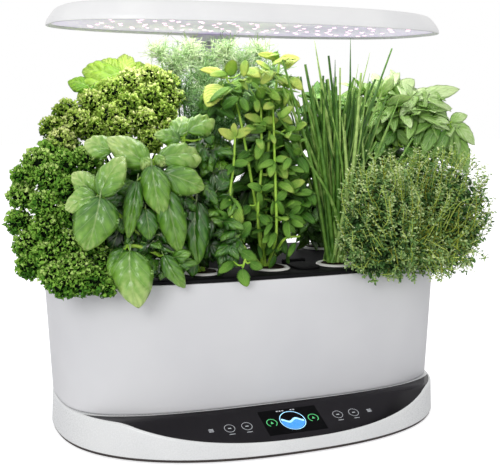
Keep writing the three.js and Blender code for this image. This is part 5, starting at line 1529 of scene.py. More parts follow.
@dataclass
class Base:
    """The base: rubber feet, dark pan, white shell with its wave-shaped lip, and the panel.

    Attributes:
        width: Size across.
        depth: Size deep.
        power: Power of its outline.
        pan: Bottom and top of the dark pan.
        bottom: Bottom of the shell.
        deck: Height of the shell's deck.
        lean: How far its wall leans in.
        wall: Thickness of its wall.
        lip: Width of the lip in front of the panel.
        lip_stand: Height of the lip over the panel's plane.
        front: Height of the panel's plane at its front edge.
        slope: Slope of that plane in degrees.
        blend: Half length of the bend where the plane turns flat.
        sink: Depth of the panel's flat part under the deck.
        thickness: Thickness of the panel, measured upright.
        inner: Width, depth and power of the deck's edge behind the panel.
        inner_y: Middle of that edge.
        behind: Where the recess ends.
        display_y: Middle of the display.
        bevel: Inset of the lip's rounding where it ends.
    """

    width: float = 418.0
    depth: float = 297.0
    power: float = 2.36
    pan: Pair = (1.2, 4.0)
    bottom: float = 4.3
    deck: float = 36.5
    lean: float = 1.2
    wall: float = 3.0
    lip: float = 1.6
    lip_stand: float = 1.7
    front: float = 14.0
    slope: float = 23.2
    blend: float = 6.0
    sink: float = 0.3
    thickness: float = 2.6
    inner: tuple[float, float, float] = (424.0, 190.4, 3.2)
    inner_y: float = 2.5
    behind: float = -48.1
    display_y: float = -119.8
    bevel: float = 2.4

    def plane(self, y: np.ndarray, lift: float, flat: float) -> np.ndarray:
        """Height of the sloping plane, bent into a flat.

        Args:
            y: Where.
            lift: How far over the panel's own plane.
            flat: Height of the flat.

        Returns:
            The heights.
        """
        steep = math.tan(math.radians(self.slope))
        edge = self.lip - self.depth / 2
        bend = edge + (flat - lift - self.front) / steep
        rising = self.front + (y - edge) * steep + lift
        share = np.clip((y - bend + self.blend) / (2 * self.blend), 0, 1)
        eased = flat - self.blend * steep * (1 - share) ** 2
        return np.where(y < bend - self.blend, rising, eased)

    def outline(self, inset: float, z: Any) -> np.ndarray:
        """The base's outline at an inset, leaning in as it climbs.

        Args:
            inset: Distance inside the wall's foot.
            z: Height, one or one for each point.

        Returns:
            The loop.
        """
        rise = np.clip((np.asarray(z, float) - self.bottom) / (self.deck - self.bottom), 0, 1)
        side = 2 * (inset + self.lean * float(np.mean(rise)))
        loop = ring(self.width - side, self.depth - side, self.power, 0)
        loop[:, 2] = z
        return loop

    def inner_loop(self) -> np.ndarray:
        """Finds the deck's edge behind the panel, on the same rays as the outline.

        Returns:
            The loop.
        """
        width, depth, power = self.inner
        edge = self.outline(self.lip, self.deck)
        rays = edge[:, :2] / np.linalg.norm(edge[:, :2], axis=1, keepdims=True)
        low, high = np.zeros(len(rays)), np.full(len(rays), 400.0)
        for _ in range(40):
            middle = (low + high) / 2
            spot = rays * middle[:, None]
            across = np.abs(spot[:, 0] * 2 / width) ** power
            inside = across + np.abs((spot[:, 1] - self.inner_y) * 2 / depth) ** power < 1
            low = np.where(inside, middle, low)
            high = np.where(inside, high, middle)
        return raised(rays * low[:, None], self.deck)

    def lip_loops(self) -> list[np.ndarray]:
        """The loops of the outer wall and its rounded lip.

        Returns:
            The loops, from the wall's foot to the lip's inner edge.
        """
        top = self.outline(0.8, self.deck)
        lip_height = self.plane(top[:, 1], self.lip_stand, self.deck)
        round_at = np.interp(lip_height, (18.0, self.deck), (1.1, 2.2))
        outer, inner = self.outline(0.0, self.deck), self.outline(self.bevel, self.deck)
        loops = [self.outline(0.5, self.bottom), self.outline(0.0, self.bottom + 0.5), self.outline(0, 9.0)]
        for turn in np.radians((0, 15, 30, 45, 60, 75, 90)):
            share = (round_at * (1 - math.cos(turn)) / self.bevel)[:, None]
            loop = outer * (1 - share) + inner * share
            crest = self.plane(loop[:, 1], self.lip_stand, self.deck)
            loop[:, 2] = crest - round_at * (1 - math.sin(turn))
            loops.append(loop)
        return loops

    def shell(self) -> Mesh:
        """The white shell: outer wall, rounded lip, recess and deck.

        Returns:
            The mesh.
        """
        loops = self.lip_loops()
        inner, edge = self.inner_loop(), self.outline(self.lip, self.deck)
        within = np.linalg.norm(inner[:, :2], axis=1) < np.linalg.norm(edge[:, :2], axis=1)
        recess = within & (edge[:, 1] < self.behind)
        crest = edge.copy()
        crest[:, 2] = self.plane(edge[:, 1], self.lip_stand, self.deck)
        # Out in front the lip ends narrower than its rounding, so the two meet in a ridge
        last = loops[-1]
        wide = np.linalg.norm(last[:, :2], axis=1) < np.linalg.norm(crest[:, :2], axis=1)
        crest[wide, :2] = last[wide, :2]
        # Where the recess is, the skin drops from the lip, runs in under the panel and climbs again
        ledge = crest.copy()
        under = self.thickness + 0.3
        ledge[recess, 2] = self.plane(crest[:, 1], 0, self.deck - self.sink)[recess] - under
        back = ledge.copy()
        back[recess, :2] = inner[recess, :2]
        flat = self.plane(inner[recess, 1], 0, self.deck - self.sink)
        back[recess, 2] = np.minimum(flat - under, self.deck - self.wall)
        # Elsewhere it goes straight on into the deck
        back[~recess] = inner[~recess] * (0.97, 0.97, 1)
        beyond = np.linalg.norm(back[:, :2], axis=1) > np.linalg.norm(ledge[:, :2], axis=1)
        back[beyond & ~recess, :2] = ledge[beyond & ~recess, :2] * 0.99
        rim = back.copy()
        rim[:, 2] = self.deck
        loops += [crest, ledge, back, rim]
        return carved(lofted("base_shell_look", loops), self.hollow())

    def hollow(self) -> Shell:
        """What is cut out of the shell: its inside, the mast's hole and the power inlet's."""
        inside = [self.outline(self.wall, 0) + (0, 0, z) for z in (self.bottom - 3, self.deck - self.wall)]
        return Shell().add(loft(inside)).add(slab(*MAST_FOOT_HOLE)).add(slab(*INLET_HOLE))

    def panel(self) -> Mesh:
        """The black crescent of the control panel.

        Returns:
            The mesh.
        """
        outer = self.outline(self.lip + 0.3, self.deck)
        inner = self.inner_loop()
        within = np.linalg.norm(inner[:, :2], axis=1) < np.linalg.norm(outer[:, :2], axis=1)
        keep = np.flatnonzero(within & (outer[:, 1] < self.behind))

        def row(share: float, sunk: float) -> np.ndarray:
            """Points from the front edge, at zero, to the back edge, at one."""
            line = outer[keep] * (1 - share) + inner[keep] * share
            line[:, 2] = self.plane(line[:, 1], 0, self.deck - self.sink) - sunk
            return line

        # The front edge is bevelled: its outer row lies deeper, its inner row further in
        points = [row(0.0, 0.35), row(0.0, 0.0) * (0.9985, 0.9985, 1)]
        points += [row(share, 0.0) for share in np.linspace(0.0, 1.0, 22)[1:]]
        points += [row(share, self.thickness) for share in (1.0, 0.0)]
        count, deep = len(keep), len(points)
        faces = []
        for k in range(deep):
            low, high = k * count, ((k + 1) % deep) * count
            faces.extend((low + i, low + i + 1, high + i + 1, high + i) for i in range(count - 1))
        return Shell().add((np.vstack(points), faces)).mesh("control_panel_look")

    def on_panel(self, x: float, along: float, lift: float = 0.0) -> np.ndarray:
        """A point of the panel's face.

        Args:
            x: Across.
            along: Up the slope from the display's middle.
            lift: Over the face.

        Returns:
            The point.
        """
        slope = math.radians(self.slope)
        rise = self.front + (self.display_y - (self.lip - self.depth / 2)) * math.tan(slope)
        y = self.display_y + along * math.cos(slope) - lift * math.sin(slope)
        return np.array((x, y, rise + along * math.sin(slope) + lift * math.cos(slope)))

    def plate(self, loop: np.ndarray, low: float, high: float, edge: float = 0.25) -> Solid:
        """A plate that lies on the panel.

        Args:
            loop: Its outline in the panel's plane, round the display's middle.
            low: Its underside over the face.
            high: Its top over the face.
            edge: Rounding of its upper edge.

        Returns:
            The points and faces.
        """
        middle = loop.mean(0)
        size = np.abs(loop - middle).max()
        loops = []
        for lift, share in ((low, 1.0), (high - edge, 1.0), (high, 1 - edge / size)):
            shaped = middle + (loop - middle) * share
            loops.append(np.array([self.on_panel(x, y, lift) for x, y in shaped]))
        return loft(loops)

    def build(self) -> None:
        """Builds the base's own pieces."""
        piece("base_shell_look", self.shell(), SHELL, ["base_shell"], sharp=28)
        piece("control_panel_look", self.panel(), PIANO_BLACK, ["control_panel"], sharp=28)
        low, high = self.pan
        loops = []
        for inset, z in ((2.6, low), (1.4, low + 0.5), (0.8, low + 1.4), (0.8, high), (4.6, high)):
            loops.append(ring(self.width - 2 * inset, self.depth - 2 * inset, self.power, z))
        piece("base_pan_look", lofted("base_pan_look", loops), TRIM, ["base_pan"])
        glass = Shell().add(self.plate(rounded_loop(63.2, 35.6, 0.8), -0.9, 0.12)).mesh("window")
        piece("display_window_look", glass, DISPLAY_GLASS, ["display_window"])
        softened([f"foot_{i}" for i in range(1, 5)], RUBBER, 0.4)
        softened(["power_inlet"], SOCKET_BLACK, 0.3)
        dressed(["display_module"], MODULE_CASE)
        dressed(["touch_board", "main_board"], SOLDER_MASK)


@dataclass
class Marks:
    """The lit marks under the panel: a water gauge, two green arcs, touch rings and small icons.

    Attributes:
        base: The base whose panel they lie on.
        gauge: Radius of the water gauge.
        lift: Their height over the face.
        touches: Across and up the slope for every touch ring.
        icons: Across and up the slope for every small icon.
    """

    base: Base
    gauge: float = 13.5
    lift: float = 0.16
    touches: Sequence[Pair] = ((-67.0, 0.0), (-49.0, 0.0), (50.0, 0.0), (68.0, 0.0))
    icons: Sequence[Pair] = ((-86.0, 0.0), (86.0, 0.0))

    def arc(
        self, x: float, y: float, radius: float, width: float, span: Point = (0.0, 360.0), steps: int = 40
    ) -> Solid:
        """A flat arc on the panel.

        Args:
            x: Its middle across.
            y: Its middle up the slope.
            radius: Its outer radius.
            width: Its width.
            span: Where it starts and ends, in degrees.
            steps: Its faces.

        Returns:
            The points and faces.
        """
        points = []
        for reach in (radius - width, radius):
            for turn in np.radians(np.linspace(*span, steps + 1)):
                spot = (x + math.cos(turn) * reach, y + math.sin(turn) * reach)
                points.append(self.base.on_panel(*spot, self.lift))
        count = steps + 1
        return np.array(points), [(i, i + count, i + count + 1, i + 1) for i in range(steps)]

    def patch(self, outline: Sequence[Pair], rise: float = 0.0) -> Solid:
        """A flat patch on the panel, counter-clockwise."""
        points = [self.base.on_panel(x, y, self.lift + rise) for x, y in outline]
        return np.array(points), [list(range(len(points)))]

    def bar(self, x: float, y: float, width: float, height: float) -> Solid:
        """A flat bar on the panel, over the middle of its lower edge."""
        left, right = x - width / 2, x + width / 2
        return self.patch([(left, y), (right, y), (right, y + height), (left, y + height)])

    def water(self, shell: Shell, body: float, crest: float) -> None:
        """Draws the gauge's water, a bowlful with a wavy top.

        Args:
            shell: Where it is drawn.
            body: Tone of the water.
            crest: Tone of its wave.
        """
        reach = self.gauge - 1.3
        wave = [(x, 2.0 * math.sin(x * 0.42) - 1.0) for x in np.linspace(11.6, -11.6, 20)]
        below = [(reach * math.cos(t), reach * math.sin(t)) for t in np.radians(np.linspace(184, 356, 30))]
        shell.add(self.patch(below + wave, 0.02), body)
        shell.add(self.patch(wave[::-1] + [(x, y + 2.8) for x, y in wave], 0.04), crest)

    def build(self) -> None:
        """Draws every mark as thin lit shapes."""
        white, green, blue, pale = 0.0, 1 / 3, 2 / 3, 1.0
        shell = Shell()
        self.water(shell, blue, pale)
        shell.add(self.arc(0, 0, self.gauge, 0.8, steps=64), pale)
        for middle in (-22.5, 22.5):
            shell.add(self.arc(middle, 0, 5.6, 0.8, (-60, 240)), green)
            shell.add(self.patch([(middle - 1.6, -1.4), (middle + 1.6, -1.4), (middle, 2.0)]), green)
        for x in (-11, -8, -5, 4, 7):
            shell.add(self.bar(x, 14.6, 2.0, 1.2), white)
        for x, y in self.touches:
            shell.add(self.arc(x, y, 5.4, 0.4, steps=36), white)
            shell.add(self.bar(x, y - 0.5, 3.2, 1.0), white)
            shell.add(self.bar(x, y - 8.6, 6.0, 0.6), white)
        for x, y in self.icons:
            for step in range(3):
                shell.add(self.bar(x, y - 2.0 + step * 1.6, 4.8, 0.7), white)
        piece("panel_marks", shell.mesh("panel_marks"), MARK_GLOW, ["display_window"])


@dataclass
class Bowl:
    """The water bowl and the black grow deck with its pods.

    Attributes:
        foot: Width, depth and power at the bottom.
        rim: Width, depth and power at the rim.
        centre_y: Middle of both.
        low: Bottom of the bowl.
        high: Its rim.
        wall: Its wall.
        foot_round: Rounding of its foot.
        deck: Underside and top of the deck.
        skirt: Depth of the deck's skirt, inside the bowl's wall.
        pod_hole: Radius of the hole for a pod.
        pods: Middles of the pods.
    """

    foot: tuple[float, float, float] = (412.6, 192.4, 3.2)
    rim: tuple[float, float, float] = (428.8, 205.0, 2.83)
    centre_y: float = 2.5
    low: float = 36.8
    high: float = 164.1
    wall: float = 2.4
    foot_round: float = 2.4
    deck: Pair = (164.4, 168.0)
    skirt: float = 9.0
    pod_hole: float = 17.1
    pods: Sequence[Pair] = (
        *((x, -62.0) for x in (-148.0, -74.0, 0.0, 74.0, 148.0)),
        *((x, 50.0) for x in (-111.0, -37.0, 37.0, 111.0)),
    )

    def loop(self, inset: float, z: float) -> np.ndarray:
        """The bowl's outline at an inset and a height."""
        rise = min(max((z - self.low) / (self.high - self.low), 0), 1)
        width, depth, power = (a + (b - a) * rise for a, b in zip(self.foot, self.rim))
        return ring(width - 2 * inset, depth - 2 * inset, power, z, self.centre_y)

    def vessel(self) -> Mesh:
        """Builds the bowl itself, with a round foot and rim.

        Returns:
            The mesh.
        """
        loops = [self.loop(6, self.low)]
        for turn in np.radians((0, 30, 60, 90)):
            rise = self.foot_round * (1 - math.cos(turn))
            loops.append(self.loop(self.foot_round * (1 - math.sin(turn)), self.low + rise))
        loops += [self.loop(0, z) for z in np.linspace(self.low + 8, self.high - 0.7, 8)]
        for inset, drop in ((0.2, 0.2), (0.7, 0.0), (self.wall - 0.5, 0.0), (self.wall, 0.5)):
            loops.append(self.loop(inset, self.high - drop))
        # The inside, from under the rim down to the floor
        for inset, z in ((0.0, 60), (0.3, 44), (2.4, 39.8)):
            loops.append(self.loop(self.wall + inset, z))
        return lofted("bowl_look", loops)

    def lid(self) -> Mesh:
        """Builds the deck: a plate and a skirt, with round holes and the filling opening.

        Returns:
            The mesh.
        """
        under, top = self.deck
        inner, outer, hem = self.wall + 2.3, self.wall + 0.3, under - self.skirt
        section = [(30, under), (inner, under), (inner, hem), (outer, hem), (outer, under), (1.3, under)]
        section += [(0.9, under + 0.4), (0.9, top - 0.9), (1.15, top - 0.3), (1.8, top), (13, top)]
        holes = Shell()
        for x, y in self.pods:
            holes.add(post(x, y, self.pod_hole, under - 3, top + 3))
        holes.add(slab(*FILL_PORT, under - 3, top + 3))
        return carved(lofted("lid", [self.loop(*spot) for spot in section]), holes)

    def basket(self) -> Mesh:
        """One pod basket round the origin, the top of its rim at zero."""
        profile = [(12.1, -46.5), (13.4, -46.5), (16.6, -2.2), (19.6, -2.2), (20, -1.8), (19.7, -0.9)]
        profile += [(19, -0.2), (18.2, 0), (16, 0), (15.3, -0.4), (12.1, -46.5)]
        return Shell().add(loft([circle(*spot, 48) for spot in profile], False)).mesh("basket")

    def sponge(self, chance: Chance) -> Mesh:
        """One crumbly sponge round the origin, its top at zero.

        Args:
            chance: Where the differences come from.

        Returns:
            The mesh.
        """
        loops = []
        for r, z in ((11.4, -44.9), (14.4, -1.4), (14.0, -0.5), (12.6, 0.0), (9, 0.1), (5, 0.1), (2, 0.1)):
            loop = circle(r, z, 36)
            if z > -2:
                loop[:, 2] += chance.uniform(-0.5, 0.2, 36)
            loops.append(loop)
        return lofted("sponge", loops)

    def lugs(self) -> Shell:
        """Builds the two lugs that hold the lid's pin, each a round eye on a block.

        Returns:
            The lugs.
        """
        made = Shell()
        turn = np.linspace(0, 2 * np.pi, 24, endpoint=False)
        upright = np.column_stack([np.zeros(24), np.cos(turn), np.sin(turn)])
        for side in (-1, 1):
            middle = FILL_PORT[0] + side * 11.15
            eye = ((-1.75, 1.9), (-1.45, 2.2), (1.45, 2.2), (1.75, 1.9))
            made.add(loft([upright * radius + (middle + x, HINGE_Y, HINGE_Z) for x, radius in eye]))
            made.add(slab(middle, HINGE_Y, 3.5, 4.4, 0.5, self.deck[1] - 1.5, HINGE_Z))
        return made

    def build(self) -> None:
        """Builds the bowl, the deck and the pods."""
        chance = np.random.default_rng(5)
        piece("bowl_look", self.vessel(), BOWL_GREY, ["bowl"])
        piece("grow_deck_look", self.lid(), DECK_BLACK, ["grow_deck"], sharp=30)
        piece("deck_hinge_lugs", self.lugs().mesh("lugs"), DECK_BLACK, ["grow_deck"])
        count = range(1, len(self.pods) + 1)
        rims = [Sprout((x, y, BASKET_TOP)) for x, y in self.pods]
        baskets = scattered("pod_baskets", rims, [template(self.basket())], BASKET_WHITE)
        piece("pod_baskets", baskets, None, [f"pod_basket_{i}" for i in count])
        tops = [Sprout((x, y, SPONGE_TOP), along=(math.sin(x), math.cos(x), 0)) for x, y in self.pods]
        sponges = scattered("pod_sponges", tops, [template(self.sponge(chance))], PEAT)
        piece("pod_sponges", sponges, None, [f"pod_sponge_{i}" for i in count])
        softened(["fill_cover"], DECK_BLACK, 0.35, "fill_cover")
        dressed(["cover_pin"], STEEL)


@dataclass
class Mast:
    """The telescoping mast: socket, three tubes and the hood's bracket."""

    bevel: float = 0.5

    def build(self) -> None:
        """Rounds the tubes' edges and dresses them."""
        softened(["mast_socket", "mast_outer"], MAST_PAINT, self.bevel)
        softened(["mast_middle"], MAST_PAINT, self.bevel, "mast_middle")
        softened(["mast_inner", "hood_bracket"], MAST_PAINT, self.bevel, "hood")
        dressed(["mast_screw_1", "mast_screw_2"], STEEL)


@dataclass
class Lamp:
    """The lamp hood with its panel, its lamps and its heat sink.

    Attributes:
        width: Size across.
        depth: Size deep.
        power: Power of its outline.
        centre_y: Middle of its outline.
        rim: Height of its rim.
        profile: Inset and height over the rim, from the rim to the crown.
        neck: Inset and height over the rim of the neck round the mast.
        neck_y: Middle of the neck.
        wall: Its wall.
        panel: Underside and top of the lamp panel.
        rows: Rows of lamps, deep from the hood's middle.
        lamp_field: Width and half depth of the space that the lamps fill.
    """

    width: float = 418.0
    depth: float = 221.0
    power: float = 2.67
    centre_y: float = -2.5
    rim: float = 409.5
    profile: Sequence[Pair] = (
        (0.0, 1.2), (0.6, 4.2), (2.6, 8.0), (6.0, 12.5), (9.2, 16.0), (14.4, 18.6), (26.0, 20.2),
        (55.2, 21.0),
    )
    neck: Sequence[Pair] = (
        (0.0, 0.1), (0.0, 10.0), (0.7, 12.1), (2.2, 13.5), (4.5, 14.0), (16.0, 14.0),
    )
    neck_y: float = 112.0
    wall: float = 2.4
    panel: Pair = (412.1, 414.1)
    rows: Sequence[float] = (-62.0, -48.5, -25.0, 0.0, 20.0, 43.5, 57.0)
    lamp_field: Pair = (372.0, 88.0)

    def loop(self, inset: float, z: float) -> np.ndarray:
        """The hood's outline at an inset and a height."""
        return ring(self.width - 2 * inset, self.depth - 2 * inset, self.power, z, self.centre_y)

    def hood(self) -> Mesh:
        """Builds the white hood, hollow from below, with the neck at its back.

        Returns:
            The mesh.
        """
        smooth = bowed([(inset, z, 0) for inset, z in self.profile], 28)
        loops = [self.loop(3, self.rim), self.loop(0.5, self.rim), self.loop(0.1, self.rim + 0.4)]
        loops += [self.loop(inset, self.rim + rise) for inset, rise, _ in smooth]
        neck = []
        for inset, rise in self.neck:
            outline = rounded_loop(46 - 2 * inset, 44 - 2 * inset, max(9 - inset, 2), 10)
            neck.append(raised(outline + (0, self.neck_y), self.rim + rise))
        inside = [self.loop(self.wall - 0.6, self.rim - 1), self.loop(self.wall, self.rim + 0.5)]
        for inset, rise, _ in smooth:
            if rise > self.wall + 1:
                inside.append(self.loop(inset + self.wall, self.rim + rise - self.wall))
        solid = Shell().add(loft(loops)).add(loft(neck)).mesh("hood_solid")
        return carved(solid, Shell().add(loft(inside)), True)

    def lenses(self) -> list[Sprout]:
        """Places the lamps' lenses in staggered rows, white with a few pink and blue.

        Returns:
            The lenses, each with the tone of its colour.
        """
        chance = np.random.default_rng(21)
        width, half_depth = self.lamp_field
        tones, shares = (0.0, 0.12, 0.3, 0.62, 1.0), (0.3, 0.25, 0.15, 0.16, 0.14)
        made = []
        for row, y in enumerate(self.rows):
            count = 16 if row % 2 else 13
            pitch = 340 / count
            for i in range(count):
                x = (i - (count - 1) / 2) * pitch + chance.uniform(-5, 5)
                if abs(y) > (1 - abs(x * 2 / width) ** self.power) ** (1 / self.power) * half_depth:
                    continue
                tone = float(chance.choice(tones, p=shares))
                place = (x, self.centre_y + y, self.panel[0])
                made.append(Sprout(place, length=chance.uniform(4.0, 5.4), tone=tone))
        return made

    def build(self) -> None:
        """Builds the hood, the lamp panel and its lamps."""
        piece("hood_shell_look", self.hood(), HOOD_WHITE, ["hood_shell"], "hood", sharp=30)
        low, high = self.panel
        plate = [self.loop(4.4, low), self.loop(4.2, low + 0.3), self.loop(4.2, high)]
        slots = Shell()
        for x, y in ((-96, -62), (-96, 62), (96, -62), (96, 62)):
            slots.add(slab(x, self.centre_y + y, 13, 3, 1, low - 3, high + 3))
        mesh = carved(lofted("panel", plate), slots)
        piece("led_panel_look", mesh, LAMP_PANEL, ["led_panel"], "hood")
        dome = ((0.15, -0.18), (0.36, -0.13), (0.48, -0.04), (0.5, 0.1))
        lens = template(Shell().add(loft([circle(*spot, 12) for spot in dome])).mesh("lens", 0.0))
        lens.flip_normals()
        lenses = scattered("led_lenses", self.lenses(), [lens], LED_GLOW)
        piece("led_lenses", lenses, None, ["led_panel"], "hood")
        softened(["heat_sink"], BARE_ALUMINIUM, 0.25, "hood")


@dataclass
class WaterWorks:
    """The pump, its filter and riser, and the level float."""

    def build(self) -> None:
        """Dresses what works under the deck."""
        dressed(["pump_body", "pump_cover", "riser_tube", "float_guide", "pump_impeller"], PUMP_GREY)
        dressed(["pump_filter"], FOAM)
        dressed(["water_float"], FLOAT_ORANGE)


# The herbs, each at its place in the photo's view


FRILL = Blade(
    width=0.9, rows=2, columns=4, base=0.5, tip=0.35, fold=0.5, cup=-0.3, curl=1.3, ruffle=0.34,
    ruffles=1.2, thickness=0.05,
)
BASIL_BLADE = Blade(
    width=0.62, rows=22, columns=12, base=0.52, tip=0.8, fold=0.6, cup=0.95, curl=1.1, pucker=0.13,
    veins=4.0, ruffle=0.06, thickness=0.02, petiole=0.1,
)
MINT_BLADE = Blade(
    width=0.55, rows=20, columns=6, base=0.6, tip=0.75, fold=0.35, cup=0.3, curl=0.6, pucker=0.05,
    veins=7.0, tooth=0.16, teeth=9, thickness=0.02, petiole=0.08,
)
THAI_BLADE = Blade(
    width=0.42, rows=14, columns=6, base=0.75, tip=0.95, fold=0.4, cup=0.3, curl=0.6, pucker=0.04,
    tooth=0.1, teeth=6, thickness=0.02, petiole=0.1,
)
THYME_BLADE = Blade(
    width=0.5, rows=3, columns=2, base=0.6, tip=0.6, fold=0.3, cup=0.1, curl=0.3, thickness=0.08
)

PARSLEY_FRONT_TUFTS = (
    (-245, -40, 248, 13), (-249, -42, 224, 12), (-242, -35, 266, 12), (-227, -25, 278, 14),
    (-210, -10, 287, 13), (-191, 5, 291, 13), (-220, -45, 264, 15), (-203, -40, 277, 14),
    (-182, -40, 280, 15), (-228, -62, 241, 14), (-242, -50, 203, 14), (-227, -66, 220, 15),
    (-205, -62, 254, 15), (-205, -70, 232, 15), (-186, -66, 240, 15), (-242, -58, 184, 13),
    (-228, -72, 196, 15), (-211, -78, 205, 15), (-192, -75, 208, 15), (-225, -86, 179, 14),
    (-208, -92, 186, 15), (-221, -96, 171, 12), (-192, -100, 175, 13), (-183, -104, 169, 10),
    (-205, -98, 172, 12), (-177, -88, 190, 14), (-174, -74, 213, 14),
)
PARSLEY_BACK_TUFTS = (
    (-206, 5, 309, 12), (-190, 15, 325, 13), (-182, 0, 315, 14, 0.15), (-200, -8, 298, 13, 0.2),
    (-161, 25, 333, 15), (-138, 35, 345, 15, 0.05), (-116, 42, 356, 14, 0.1), (-93, 44, 362, 13, 0.1),
    (-77, 42, 354, 14, 0.05), (-73, 35, 339, 13), (-101, 28, 339, 16), (-126, 18, 329, 16),
    (-149, 8, 319, 15), (-168, 0, 307, 14), (-143, -6, 306, 14), (-115, 5, 315, 15), (-89, 18, 323, 14),
    (-110, -8, 297, 13), (-87, 4, 305, 12),
)
# Leaf tones also paint the light: high on lit upper leaves, low on shaded ones behind
BASIL_FRONT_LEAVES = (
    ((-173, -95, 291), (-195, -80, 307), 26, 0.76), ((-143, -110, 279), (-179, -110, 306), 26, 0.78),
    ((-193, -125, 254), (-179, -135, 294), 27, 0.68), ((-193, -115, 254), (-215, -100, 276), 22, 0.72),
    ((-196, -125, 254), (-226, -120, 250), 24, 0.7), ((-193, -128, 254), (-204, -138, 205), 38, 0.55),
    ((-157, -120, 267), (-169, -128, 214), 17, 0.5), ((-143, -118, 280), (-144, -138, 236), 27, 0.66),
    ((-148, -115, 241), (-147, -125, 213), 22, 0.36), ((-162, -112, 203), (-171, -130, 155), 38, 0.7),
    ((-166, -106, 204), (-183, -116, 183), 18, 0.5), ((-126, -105, 239), (-125, -115, 203), 20, 0.3),
    ((-131, -105, 285), (-76, -100, 297), 30, 0.8), ((-130, -112, 273), (-89, -125, 256), 29, 0.6),
    ((-129, -115, 257), (-122, -132, 197), 27, 0.52), ((-92, -95, 244), (-104, -110, 188), 26, 0.36),
    ((-129, -108, 196), (-116, -122, 162), 17, 0.55), ((-98, -85, 308), (-57, -70, 333), 24, 0.76),
    ((-107, -80, 304), (-94, -70, 328), 24, 0.72), ((-80, -80, 302), (-58, -66, 311), 19, 0.45),
    ((-104, -84, 300), (-126, -88, 312), 18, 0.6), ((-140, -100, 262), (-118, -92, 242), 26, 0.14),
    ((-150, -96, 252), (-172, -88, 232), 28, 0.12), ((-112, -92, 270), (-92, -86, 250), 26, 0.16),
    ((-156, -92, 226), (-178, -84, 206), 26, 0.1), ((-128, -92, 226), (-108, -86, 206), 26, 0.1),
    ((-100, -84, 230), (-84, -80, 206), 24, 0.14), ((-140, -92, 200), (-150, -96, 176), 22, 0.14),
    ((-120, -90, 196), (-104, -88, 178), 22, 0.12), ((-150, -112, 288), (-142, -118, 272), 12, 0.9),
    ((-136, -108, 288), (-128, -112, 276), 11, 0.9),
)
BASIL_FRONT_STEMS = (
    [(-78, -66, 170), (-104, -84, 214), (-128, -98, 256), (-140, -108, 284)],
    [(-80, -66, 170), (-130, -92, 200), (-172, -108, 236), (-193, -122, 256)],
    [(-74, -66, 170), (-88, -74, 232), (-98, -78, 290), (-100, -82, 306)],
    [(-80, -68, 170), (-120, -92, 190), (-150, -104, 204), (-164, -108, 206)],
)
BASIL_BACK_LEAVES = (
    ((-116, 72, 366), (-168, 76, 352), 40, 0.62), ((-122, 76, 362), (-160, 80, 376), 30, 0.7),
    ((-120, 70, 352), (-160, 68, 336), 26, 0.5), ((-114, 84, 364), (-99, 88, 394), 24, 0.9),
    ((-108, 84, 366), (-72, 88, 380), 28, 0.72), ((-118, 84, 366), (-130, 88, 388), 22, 0.76),
    ((-106, 78, 360), (-78, 76, 364), 26, 0.6), ((-150, 78, 350), (-170, 84, 362), 22, 0.5),
)
BASIL_BACK_STEMS = (
    [(-37, 50, 171.5), (-40, 56, 260), (-60, 74, 310), (-100, 76, 345)],
    [(-37, 50, 171.5), (-60, 60, 250), (-100, 74, 310), (-128, 72, 342)],
)
MINT_LEAVES = (
    ((-49, -50, 352), (-72, -55, 340), 26, 0.95), ((-48, -48, 354), (-34, -56, 326), 26, 0.42),
    ((-40, -40, 360), (-64, -42, 373), 11, 1.0), ((-40, -40, 360), (-39, -38, 374), 6, 0.9),
    ((-24, -35, 364), (-1, -38, 370), 9, 0.8), ((0, -35, 362), (-22, -40, 356), 9, 0.7),
    ((-2, -40, 360), (14, -44, 366), 9, 0.85), ((18, -40, 380), (-4, -44, 386), 8, 1.0),
    ((18, -40, 380), (38, -44, 385), 9, 0.95), ((17, -42, 379), (26, -48, 373), 8, 0.8),
    ((5, -50, 346), (24, -56, 348), 11, 0.7), ((3, -50, 344), (-8, -56, 334), 10, 0.5),
    ((-10, -60, 318), (-28, -66, 323), 10, 0.85), ((-10, -60, 318), (6, -66, 318), 10, 0.8),
    ((-11, -62, 317), (-12, -70, 309), 9, 0.6), ((-45, -75, 302), (-62, -80, 308), 11, 0.95),
    ((-45, -75, 302), (-32, -80, 313), 11, 0.9), ((-45, -75, 302), (-49, -78, 315), 8, 0.8),
    ((-7, -85, 280), (-23, -90, 275), 10, 0.6), ((-7, -85, 280), (7, -90, 284), 10, 0.65),
    ((-53, -88, 245), (-47, -96, 216), 14, 0.7), ((-53, -88, 245), (-67, -92, 238), 11, 0.45),
    ((-50, -84, 276), (-62, -88, 270), 10, 0.4), ((-50, -84, 276), (-37, -88, 281), 10, 0.5),
    ((-58, -90, 224), (-70, -92, 233), 10, 0.45), ((-58, -92, 224), (-50, -98, 213), 13, 0.5),
    ((-49, -98, 207), (-41, -104, 222), 14, 0.4), ((-49, -98, 207), (-64, -102, 197), 12, 0.45),
    ((-49, -100, 195), (-36, -108, 184), 12, 0.5), ((-49, -106, 178), (-51, -112, 162), 13, 0.55),
    ((-57, -102, 185), (-72, -108, 177), 11, 0.55), ((-41, -106, 184), (-31, -110, 175), 10, 0.5),
    ((-22, -88, 251), (-35, -94, 260), 10, 0.5), ((-22, -88, 251), (-14, -94, 259), 9, 0.55),
    ((-24, -90, 227), (-16, -96, 217), 11, 0.45), ((-9, -94, 242), (2, -98, 250), 10, 0.5),
    ((-10, -96, 210), (-22, -100, 200), 10, 0.5), ((20, -88, 204), (13, -94, 179), 15, 0.75),
    ((20, -88, 204), (30, -92, 188), 10, 0.6), ((-27, -70, 289), (-40, -76, 282), 10, 0.35),
    ((9, -88, 226), (17, -94, 235), 9, 0.45), ((11, -70, 309), (20, -76, 313), 9, 0.5),
    ((-31, -80, 236), (-40, -86, 228), 9, 0.35),
)
